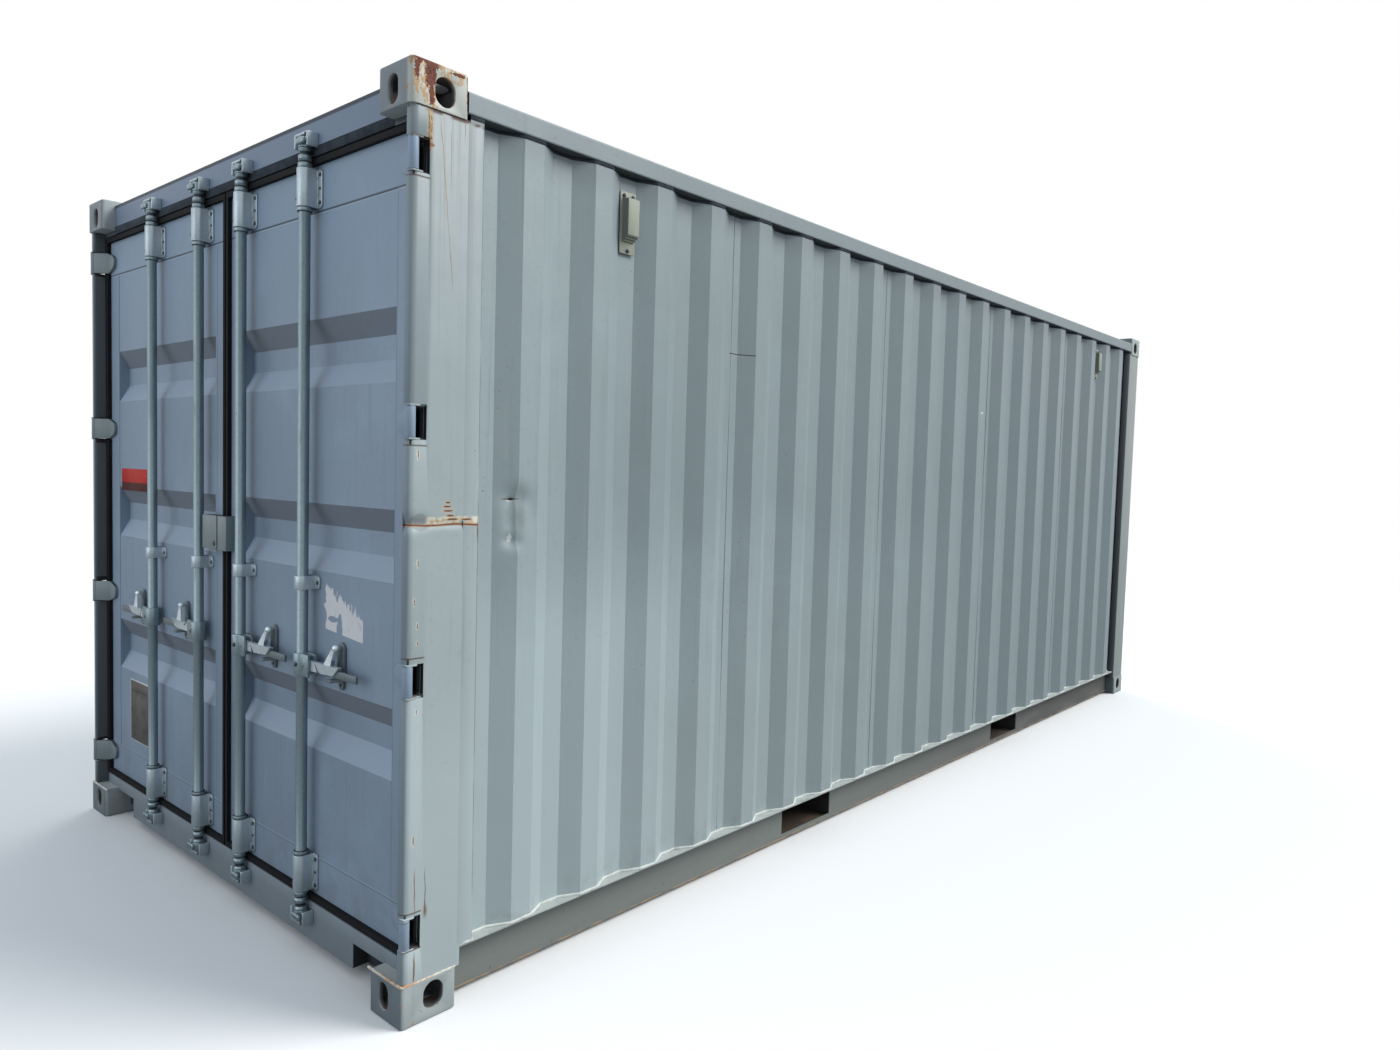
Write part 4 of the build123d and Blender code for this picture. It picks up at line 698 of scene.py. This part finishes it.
# %% Give the CAD nodes their finishes
finish_of = {}
for finish, starts in ((wood_finish, "floor"), (plastic_finish, "vents"), (rubber_finish, "door_gasket"),
                       (wall_paint, "side_wall roof blind_end_wall blind_header top_side_rail"),
                       (rail_paint, "bottom_side_rail blind_sill"),
                       (pocket_paint, "cross_members fork_pockets"),
                       (casting_paint, "castings"), (post_paint, "door_end_post blind_end_post hinge_lugs"),
                       (door_paint, "door_header door_sill door_left door_right hinge_blades"),
                       (lock_case_paint, "lock_box hinge_blades_left"), (rod_zinc, "rod_"),
                       (fitting_zinc, "rod_brackets cam_keepers"), (grip_zinc, "handle_"),
                       (dull_zinc, "handle_retainers")):
    for node in frame["nodes"]:
        if node.startswith(tuple(starts.split())):
            finish_of[node] = finish
for name, cad in frame["nodes"].items():
    cad.data.materials.clear()
    cad.data.materials.append(finish_of[name])
print("finished nodes:", len(finish_of), "of", len(frame["nodes"]))

# %% [markdown]
# ## The studio floor
# A bare white page would leave the container floating, so a wide disc takes its shadow. The camera sees the
# disc paler than the light does, and it fades to the sky's white far out, so that no edge of it shows.

# %% Floor for the shadow
floor_shape = bmesh.new()
bmesh.ops.create_circle(floor_shape, cap_ends=True, radius=60, segments=64)
floor_mesh = bpy.data.meshes.new("studio_floor")
floor_shape.to_mesh(floor_mesh)
floor_shape.free()
studio_floor = bpy.data.objects.new("studio_floor", floor_mesh)
scene.collection.objects.link(studio_floor)
pale = Finish("studio_floor", (140, 140, 138), 0.9)
from_camera = pale.add("ShaderNodeLightPath").outputs["Is Camera Ray"]
pale.layer(from_camera, (236, 238, 240))
pale.done()
distance = pale.add("ShaderNodeVectorMath", {0: pale.place}, operation="LENGTH").outputs["Value"]
white_far = pale.both(pale.rise(distance, 4.5, 16.0), from_camera)
glow = pale.add("ShaderNodeEmission").outputs[0]
blend = pale.add("ShaderNodeMixShader", {"Fac": white_far, 1: pale.shader.outputs[0], 2: glow})
join(pale.tree, blend.outputs[0], pale.tree.nodes["Material Output"].inputs["Surface"])
floor_mesh.materials.append(pale.material)

# %% [markdown]
# ## A kit for pieces
# CAD edges are knife sharp, and real pressed or cast steel has a small round edge that catches the light.
# A Bevel modifier could round them, but it also rounds the many small facets of pipes and holes.
# So a copy of the node is merged into whole faces, and only its sharp edges are bevelled.
# The copy then replaces the node in the picture, while the node stays for the physics.


def copy_of(node):
    """Copy a CAD node's mesh, with its loose triangles merged into flat faces."""
    shape = bmesh.new()
    shape.from_mesh(frame["nodes"][node].data)
    bmesh.ops.remove_doubles(shape, verts=shape.verts, dist=0.00002)
    bmesh.ops.dissolve_limit(shape, angle_limit=0.02, verts=shape.verts, edges=shape.edges)
    return shape


def soften(shape, width, angle=40, segments=2):
    """Round the edges that are sharper than the angle."""
    sharp = [edge for edge in shape.edges
             if len(edge.link_faces) == 2 and edge.calc_face_angle() > math.radians(angle)]
    bmesh.ops.bevel(shape, geom=sharp, offset=width, segments=segments, profile=0.5, affect="EDGES",
                    clamp_overlap=True, material=-1)


def cut(shape, axis, places, **clear):
    """Cut the shape across an axis at each place, so that it can bend there, or clear what lies beyond."""
    for place in places:
        point, normal = [0, 0, 0], [0, 0, 0]
        point["xyz".index(axis)], normal["xyz".index(axis)] = place, 1
        bmesh.ops.bisect_plane(shape, geom=shape.verts[:] + shape.edges[:] + shape.faces[:], dist=0.00001,
                               plane_co=point, plane_no=normal, **clear)


def close(shape):
    """Fill the ends that a cut has left open."""
    bmesh.ops.holes_fill(shape, edges=[edge for edge in shape.edges if edge.is_boundary])


def piece(shape, name, body, finish, angle=50):
    """Turn a bmesh into a finished piece that rides on a body."""
    mesh = bpy.data.meshes.new(name)
    shape.to_mesh(mesh)
    shape.free()
    mesh.shade_smooth()
    mesh.set_sharp_from_angle(angle=math.radians(angle))
    mesh.materials.append(finish)
    made = bpy.data.objects.new(name, mesh)
    scene.collection.objects.link(made)
    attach(made, body)
    print(name, "rides on", body, "with", len(mesh.polygons), "faces")
    return made


def stand_in(shape, node, angle=50):
    """Finish a reshaped copy of a node and let it replace that node."""
    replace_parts(piece(shape, f"{node}_dressed", body_of[node], finish_of[node], angle), node)


def block(shape, one, other, round_edges=0.0, segments=2):
    """Add a box between two corners, with its edges rounded."""
    low, high = Vector(map(min, one, other)), Vector(map(max, one, other))
    place = Matrix.Translation((low + high) / 2) @ Matrix.Diagonal((*(high - low), 1))
    corners = bmesh.ops.create_cube(shape, size=1, matrix=place)["verts"]
    if round_edges:
        edges = {edge for corner in corners for edge in corner.link_edges}
        bmesh.ops.bevel(shape, geom=list(edges), offset=round_edges, segments=segments, profile=0.5,
                        affect="EDGES", clamp_overlap=True, material=-1)


def slab(name, body, finish, one, other, round_edges):
    """Make a piece of one box."""
    shape = bmesh.new()
    block(shape, one, other, round_edges)
    piece(shape, name, body, finish)


def head(shape, place, radii):
    """Add a rivet or bolt head, a ball pressed flat along one axis."""
    size = Matrix.Translation(place) @ Matrix.Diagonal((*radii, 1))
    bmesh.ops.create_uvsphere(shape, u_segments=12, v_segments=8, radius=1, matrix=size)


def rivet(shape, place, radius, height):
    """Add a round rivet head that faces the doors' outside."""
    head(shape, place, (radius, height, radius))


def ring(shape, centre, profile, steps=24):
    """Spin a closed profile of (radius, height) points about an upright axis."""
    loop = [shape.verts.new((centre[0] + radius, centre[1], height)) for radius, height in profile]
    edges = [shape.edges.new((loop[number - 1], loop[number])) for number in range(len(loop))]
    bmesh.ops.spin(shape, geom=loop + edges, cent=(*centre, 0), axis=(0, 0, 1), angle=2 * math.pi, steps=steps,
                   use_merge=True)


# %% [markdown]
# ## Round the edges
# The castings have the largest rounds, 4 mm. Folded and forged parts bend round by 1 to 3 mm.
# The table gives each node its round. Others get theirs further down, or are left with their own mesh.

# %% Rounded nodes
VENT_PLACES = (-2.2035, 2.2285)
VENT_MIDDLE, VENT_WIDTH, VENT_HEIGHT = 2.3255, 0.76, 0.86


def reshape_vents(shape):
    """Make the vents narrower and lower, as shares of their CAD width and height, and lower their foot."""
    for vertex in shape.verts:
        middle = VENT_PLACES[vertex.co.y > 0]
        if 2.244 < vertex.co.z < 2.246:
            vertex.co.z -= 0.016
        vertex.co.y = middle - 0.008 + (vertex.co.y - middle) * VENT_WIDTH
        vertex.co.z = VENT_MIDDLE + 0.0125 + (vertex.co.z - VENT_MIDDLE) * VENT_HEIGHT


rounds = {"castings_top": 0.004, "castings_bottom": 0.004, "door_header": 0.003, "door_sill": 0.002,
          "cam_keepers": 0.002, "vents": 0.002, "hinge_lugs": 0.001, "blind_header": 0.002, "blind_sill": 0.002}
for kind, width in (("hinge_blades", 0.0025), ("rod_brackets", 0.0015), ("lock_box", 0.0015),
                    ("handle_retainers", 0.0015), ("blind_end_post", 0.002)):
    rounds.update({f"{kind}_left": width, f"{kind}_right": width})
for node, width in rounds.items():
    shape = copy_of(node)
    if node == "vents":
        reshape_vents(shape)
    soften(shape, width)
    stand_in(shape, node)

# %% [markdown]
# ## The lift handles
# Each handle is one forging: a thick bright arm, and a horn that rises from it with a ball on top.
# Behind the horn it goes on as a duller flat bar that the hand takes. The CAD bar has one thickness throughout,
# so the copy is cut off behind the horn, the horn is thickened and the arm gets hammered facets.
# The flat bar is then a piece of its own, with a rivet where it meets the arm.

# %% Forged handles
ROD_PLACES = {1: -0.603, 2: -0.170, 3: 0.170, 4: 0.603}
ARM_END, HORN_FOOT, HORN_RISE = 0.200, 0.931, 0.045

for number, rod_x in ROD_PLACES.items():
    shape = copy_of(f"handle_{number}")
    side = 1 if rod_x > 0 else -1
    soften(shape, 0.0025)
    cut(shape, "x", [rod_x + side * (0.045 + 0.012 * step) for step in range(14)])
    cut(shape, "x", [rod_x + side * ARM_END], clear_outer=side > 0, clear_inner=side < 0)
    close(shape)
    for vertex in shape.verts:
        reach, height = side * (vertex.co.x - rod_x), vertex.co.z
        if height > HORN_FOOT + 0.001:
            rise = min(1, (height - HORN_FOOT) / HORN_RISE)
            line = 0.150 + 0.034 * rise
            vertex.co.x = rod_x + side * (line + (reach - line) * (1.75 - 0.60 * rise))
            vertex.co.y -= 0.002 * (1 - rise)
        elif reach > 0.050:
            facet = Vector((reach * 40, height * 60, number))
            vertex.co.z += 0.0016 * noise.noise(facet) + 0.05 * max(0, reach - 0.150)
            vertex.co.y += 0.0022 * noise.noise(facet + Vector((0, 0, 9)))
    stand_in(shape, f"handle_{number}", 14)
    shape = bmesh.new()
    block(shape, (rod_x + side * 0.168, -3.0035, 0.9005), (rod_x + side * 0.322, -2.9955, 0.9235), 0.0015)
    rivet(shape, (rod_x + side * 0.190, -3.0035, 0.912), 0.0060, 0.0020)
    piece(shape, f"handle_bar_{number}", body_of[f"handle_{number}"], dull_zinc)

# %% [markdown]
# ## The corrugated sides
# The sheet is dead straight in CAD. The real one waves by a millimetre or so and has a dent in its first ridge.
# A shader bump can't move a ridge's outline, so the copy is cut into small fields and its points are moved.
# The wave is smooth noise. The dent is a sum of soft hollows, each with a centre, a reach and a depth.

# %% Wavy sheet with the dent
WALL_FACE, WALL_DEPTH = 1.213, 0.036
SHEET_FOOT, SHEET_TOP = 0.172, 2.491
SIDES = (("right", 1), ("left", -1))
# Place and height of each hollow, its two reaches and its depth.
hollows = ((-2.655, 1.450, 0.040, 0.032, 0.011), (-2.664, 1.390, 0.026, 0.060, 0.013),
           (-2.668, 1.322, 0.024, 0.020, 0.010), (-2.600, 1.398, 0.030, 0.050, 0.004),
           (-2.669, 1.446, 0.009, 0.005, 0.006))


def dent(y, z, marks):
    """Give how deep the marks press in at a place."""
    return sum(deep * math.exp(-((y - at_y) / wide) ** 2 - ((z - at_z) / tall) ** 2)
               for at_y, at_z, wide, tall, deep in marks)


for side_name, sign in SIDES:
    node = f"side_wall_{side_name}"
    shape = copy_of(node)
    cut(shape, "z", [SHEET_FOOT + 0.0605 * number for number in range(1, 39)])
    if sign > 0:
        cut(shape, "z", [1.24 + 0.006 * number for number in range(47)])
        cut(shape, "y", [-2.754 + 0.006 * number for number in range(40)])
    for vertex in shape.verts:
        x, y, z = vertex.co
        wave = 0.0014 * noise.noise(Vector((y * 1.7, z * 1.3, sign)))
        wave += 0.0005 * noise.noise(Vector((y * 7, z * 2.5, 4)))
        edge = min(1, (z - SHEET_FOOT) / 0.1, (SHEET_TOP - z) / 0.1)
        vertex.co.x += sign * (wave * edge - 0.0004) - (dent(y, z, hollows) if sign > 0 else 0)
    stand_in(shape, node, 7)

# %% [markdown]
# ## Weld beads and sealant
# The sheet is welded to the rails and sealed with a pale bead that follows every ridge and hollow.
# A curve could be drawn along all eighty corners, but the sheet already has that line.
# So a thin slice of the sheet is cut off at its foot, swollen along its normals and made a little uneven.
# A thinner slice under the top rail becomes a dark line of painted shadow there.
# The four upright seams between sheets are thin rounded strips in the hollows.

# %% Beads along the sheet
def bead(node, name, low, high, swell, wander, finish):
    """Make a bead from the slice of a sheet between two heights."""
    shape = copy_of(node)
    cut(shape, "z", [low], clear_inner=True)
    cut(shape, "z", [high], clear_outer=True)
    close(shape)
    cut(shape, "y", [-2.85 + 0.03 * number for number in range(190)])
    shape.normal_update()
    moves = {vertex: Vector((vertex.normal.x, vertex.normal.y, 0)).normalized() for vertex in shape.verts}
    for vertex, away in moves.items():
        uneven = 1 + wander * noise.noise(Vector((vertex.co.y * 30, vertex.co.z * 30, 2)))
        vertex.co += away * swell * uneven
        if abs(vertex.co.z - high) < 0.001 and low < 1:
            vertex.co.z += 0.003 * noise.noise(Vector((vertex.co.y * 16, 0, 7)))
    soften(shape, swell * 0.6, 50, 1)
    piece(shape, name, "frame", finish, 60)


for side_name, sign in SIDES:
    bead(f"side_wall_{side_name}", f"foot_bead_{side_name}", 0.1722, 0.1795, 0.0036, 0.6, sealant_finish)
    bead(f"side_wall_{side_name}", f"top_shade_strip_{side_name}", 2.481, 2.4908, 0.0012, 0.5, painted_gap_shade)
    shape = bmesh.new()
    hollow = WALL_FACE - WALL_DEPTH
    for seam_y in (-1.6495, -0.5415, 0.5665, 1.6745):
        block(shape, (sign * (hollow - 0.001), seam_y - 0.003, 0.186),
              (sign * (hollow + 0.0009), seam_y + 0.004, 2.480))
    cut(shape, "z", [0.2 + 0.05 * number for number in range(46)])
    for vertex in shape.verts:
        vertex.co.y += 0.0012 * noise.noise(Vector((vertex.co.y, vertex.co.z * 9, 5)))
    soften(shape, 0.0006, 60)
    bmesh.ops.recalc_face_normals(shape, faces=shape.faces)
    piece(shape, f"seams_{side_name}", "frame", wall_paint)

# %% [markdown]
# ## The corner posts
# The near post was struck at chest height, and its front fold is pushed in along a crease.
# The copy is cut finely only round the crease, then pushed in with the same kind of soft hollow as the wall.

# %% Posts with the crease
crease_marks = ((-3.005, 1.383, 0.040, 0.020, 0.007), (-2.960, 1.379, 0.090, 0.010, 0.004),
                (-2.850, 1.378, 0.060, 0.009, 0.003))
for side_name, sign in SIDES:
    node = f"door_end_post_{side_name}"
    shape = copy_of(node)
    soften(shape, 0.0015, 60)
    if sign > 0:
        cut(shape, "z", [1.335 + 0.006 * number for number in range(18)])
        cut(shape, "y", [-3.02 + 0.015 * number for number in range(14)])
        for vertex in shape.verts:
            depth = dent(vertex.co.y, vertex.co.z, crease_marks)
            if vertex.co.x > 1.19 and depth > 0.0001:
                vertex.co.x -= depth
                vertex.co.y += depth * max(0, (-3.0 - vertex.co.y) / 0.023)
    stand_in(shape, node, 40)
    slab(f"post_flange_{side_name}", "frame", post_paint, (sign * 1.2120, -2.850, 0.176),
         (sign * 1.2162, -2.7985, 2.472), 0.0012)
    shape = bmesh.new()
    for inner, back in ((1.042, -3.0205), (1.2105, -2.8520)):
        block(shape, (sign * inner, -3.0280, 0.1155), (sign * 1.2180, back, 0.1230), 0.0028)
    cut(shape, "x", [sign * (1.05 + 0.008 * step) for step in range(21)])
    cut(shape, "y", [-3.018 + 0.008 * step for step in range(21)])
    for vertex in shape.verts:
        vertex.co.z += 0.0014 * noise.noise(vertex.co * 90)
    piece(shape, f"foot_weld_{side_name}", "frame", weld_metal)

# %% [markdown]
# ## Bolts and rings of the lock gear
# Each bearing is held by small rivets along both flanges, and folded ribs stand beside the long sleeves.
# The bare rod ends carry stepped rings above and below the bearings, where the forged cam is shrunk on.
# A ring is one profile spun round the rod, and a rivet head is a flattened ball, because both are round.

# %% Rivets, ribs and rings
ROD_AXIS, FLANGE_FRONT = -3.001, -2.972
# Foot and height of each rod's brackets, and where along them the rivets sit.
long_row = (0.016, 0.058, 0.099)
brackets = ((0.196, 0.115, long_row), (1.145, 0.042, (0.021,)), (2.303, 0.115, long_row))
for side_name, numbers in (("left", (1, 2)), ("right", (3, 4))):
    shape, ribs = bmesh.new(), bmesh.new()
    for number in numbers:
        rod_x = ROD_PLACES[number]
        for low, height, holes in brackets:
            for sign in (-1, 1):
                for hole in holes:
                    size = 0.0045 if 0.05 < hole < 0.06 else 0.0068
                    rivet(shape, (rod_x + sign * 0.0375, FLANGE_FRONT, low + hole), size, 0.0038)
                rib = rod_x + sign * 0.0268
                for start, stop in ((0.05, 0.24), (0.32, 0.68), (0.76, 0.95)) if height > 0.1 else ():
                    block(ribs, (rib - 0.0028, -2.9765, low + start * height),
                          (rib + 0.0028, -2.971, low + stop * height), 0.0014)
            if height > 0.1:
                rivet(shape, (rod_x - 0.0125, -3.0205, low + 0.022), 0.0045, 0.0032)
    piece(shape, f"bracket_rivets_{side_name}", f"door_{side_name}", bolt_steel)
    piece(ribs, f"bracket_ribs_{side_name}", f"door_{side_name}", fitting_zinc)

# Radius and distance from the bearing, round each profile.
neck = ((0.013, 0.002), (0.0195, 0.002), (0.0205, 0.004), (0.0205, 0.014), (0.019, 0.016), (0.0165, 0.017),
        (0.0165, 0.021), (0.0195, 0.022), (0.0195, 0.036), (0.018, 0.038), (0.0155, 0.041), (0.0155, 0.050),
        (0.019, 0.054), (0.019, 0.058), (0.013, 0.058))
stop_ring = ((0.0165, 0.0022), (0.0218, 0.0022), (0.0226, 0.004), (0.0226, 0.012), (0.0212, 0.014),
             (0.0165, 0.014))
for number, rod_x in ROD_PLACES.items():
    shape = copy_of(f"rod_{number}")
    soften(shape, 0.0015)
    outward = 1 if rod_x > 0 else -1
    hub_bolt = bmesh.new()
    rivet(hub_bolt, (rod_x + outward * 0.006, -3.0262, 0.915), 0.0080, 0.0026)
    piece(hub_bolt, f"hub_bolt_{number}", body_of[f"rod_{number}"], bolt_steel)
    for start, away in ((2.303, -1), (0.311, 1)):
        ring(shape, (rod_x, ROD_AXIS), [(radius, start + away * height) for radius, height in stop_ring])
    for start, away in ((2.418, 1), (0.196, -1)):
        ring(shape, (rod_x, ROD_AXIS), [(radius, start + away * height) for radius, height in neck])
        middle = start + away * 0.075
        block(shape, (rod_x - outward * 0.010, -3.0285, middle - 0.010),
              (rod_x + outward * 0.036, -3.017, middle + 0.010), 0.005, 3)
    bmesh.ops.recalc_face_normals(shape, faces=shape.faces)
    stand_in(shape, f"rod_{number}")

# %% [markdown]
# ## Bolts of the vents, the keepers and the lock case
# A vent cover hangs on two bolts at its top and one at its foot. Each keeper shows a bolt beside its rod, and
# the lock case has a large one at its lower corner. They are too small for the CAD model, but they are what
# tells a cover from a block.

# %% Small bolts
shape = bmesh.new()
for sign in (-1, 1):
    for middle in VENT_PLACES:
        for y, z in ((-0.020, 2.423), (0.020, 2.423), (0.0, 2.2495)):
            head(shape, (sign * 1.1895, middle - 0.008 + y, z), (0.004, 0.0065, 0.0065))
piece(shape, "vent_bolts", "frame", bolt_steel)
shape = bmesh.new()
for rod_x in ROD_PLACES.values():
    for z in (2.5125, 0.1025):
        rivet(shape, (rod_x + 0.030, -3.0160, z), 0.0055, 0.0026)
piece(shape, "keeper_bolts", "frame", bolt_steel)
shape = bmesh.new()
rivet(shape, (-0.022, -3.0080, 1.243), 0.0095, 0.0040)
piece(shape, "lock_bolt", "door_left", bolt_steel)

# %% [markdown]
# ## Header lip and sill ends
# The header's lower fold lies in shade, so a dark strip there paints it as a band of shade above the doors. At
# each end, a short plate closes the sill above its casting, and a dark plate behind the notch beside it paints
# the notch's inside as shade.

# %% Lip and ends
slab("header_shade_strip", "frame", painted_gap_shade, (-1.056, -2.9812, 2.4556),
     (1.056, -2.9760, 2.4860), 0.0012)
for side_name, sign in SIDES:
    slab(f"sill_end_{side_name}", "frame", door_paint, (sign * 1.0560, -2.9790, 0.1175),
         (sign * 1.1690, -2.9500, 0.1575), 0.0015)
    slab(f"sill_notch_shade_{side_name}", "frame", painted_gap_shade, (sign * 0.8790, -2.9300, 0.0360),
         (sign * 1.0580, -2.9250, 0.1130), 0.0010)

# %% [markdown]
# ## A plate and a strip of film on the left door
# A dull metal plate is riveted low on the left door, and a strip of red film with a dark foot sits above it.
# Both are plain. They need only a little thickness, so that their edges catch the light as the real ones do.

# %% Plain plate and film
PANEL_FACE = -2.965
shape = bmesh.new()
block(shape, (-0.944, PANEL_FACE - 0.0015, 0.352), (-0.743, PANEL_FACE + 0.0005, 0.609), 0.0006)
for x in (-0.934, -0.753):
    for z in (0.364, 0.480, 0.597):
        rivet(shape, (x, PANEL_FACE - 0.0015, z), 0.004, 0.002)
for low, high in ((0.560, 0.583), (0.375, 0.545)):
    block(shape, (-0.925, PANEL_FACE - 0.0022, low), (-0.762, PANEL_FACE - 0.001, high), 0.0005)
piece(shape, "blank_plate", "door_left", plate_finish)
slab("label_strip", "door_left", film_finish, (-1.036, PANEL_FACE - 0.0006, 1.396),
     (-0.722, PANEL_FACE + 0.0005, 1.486), 0.0002)
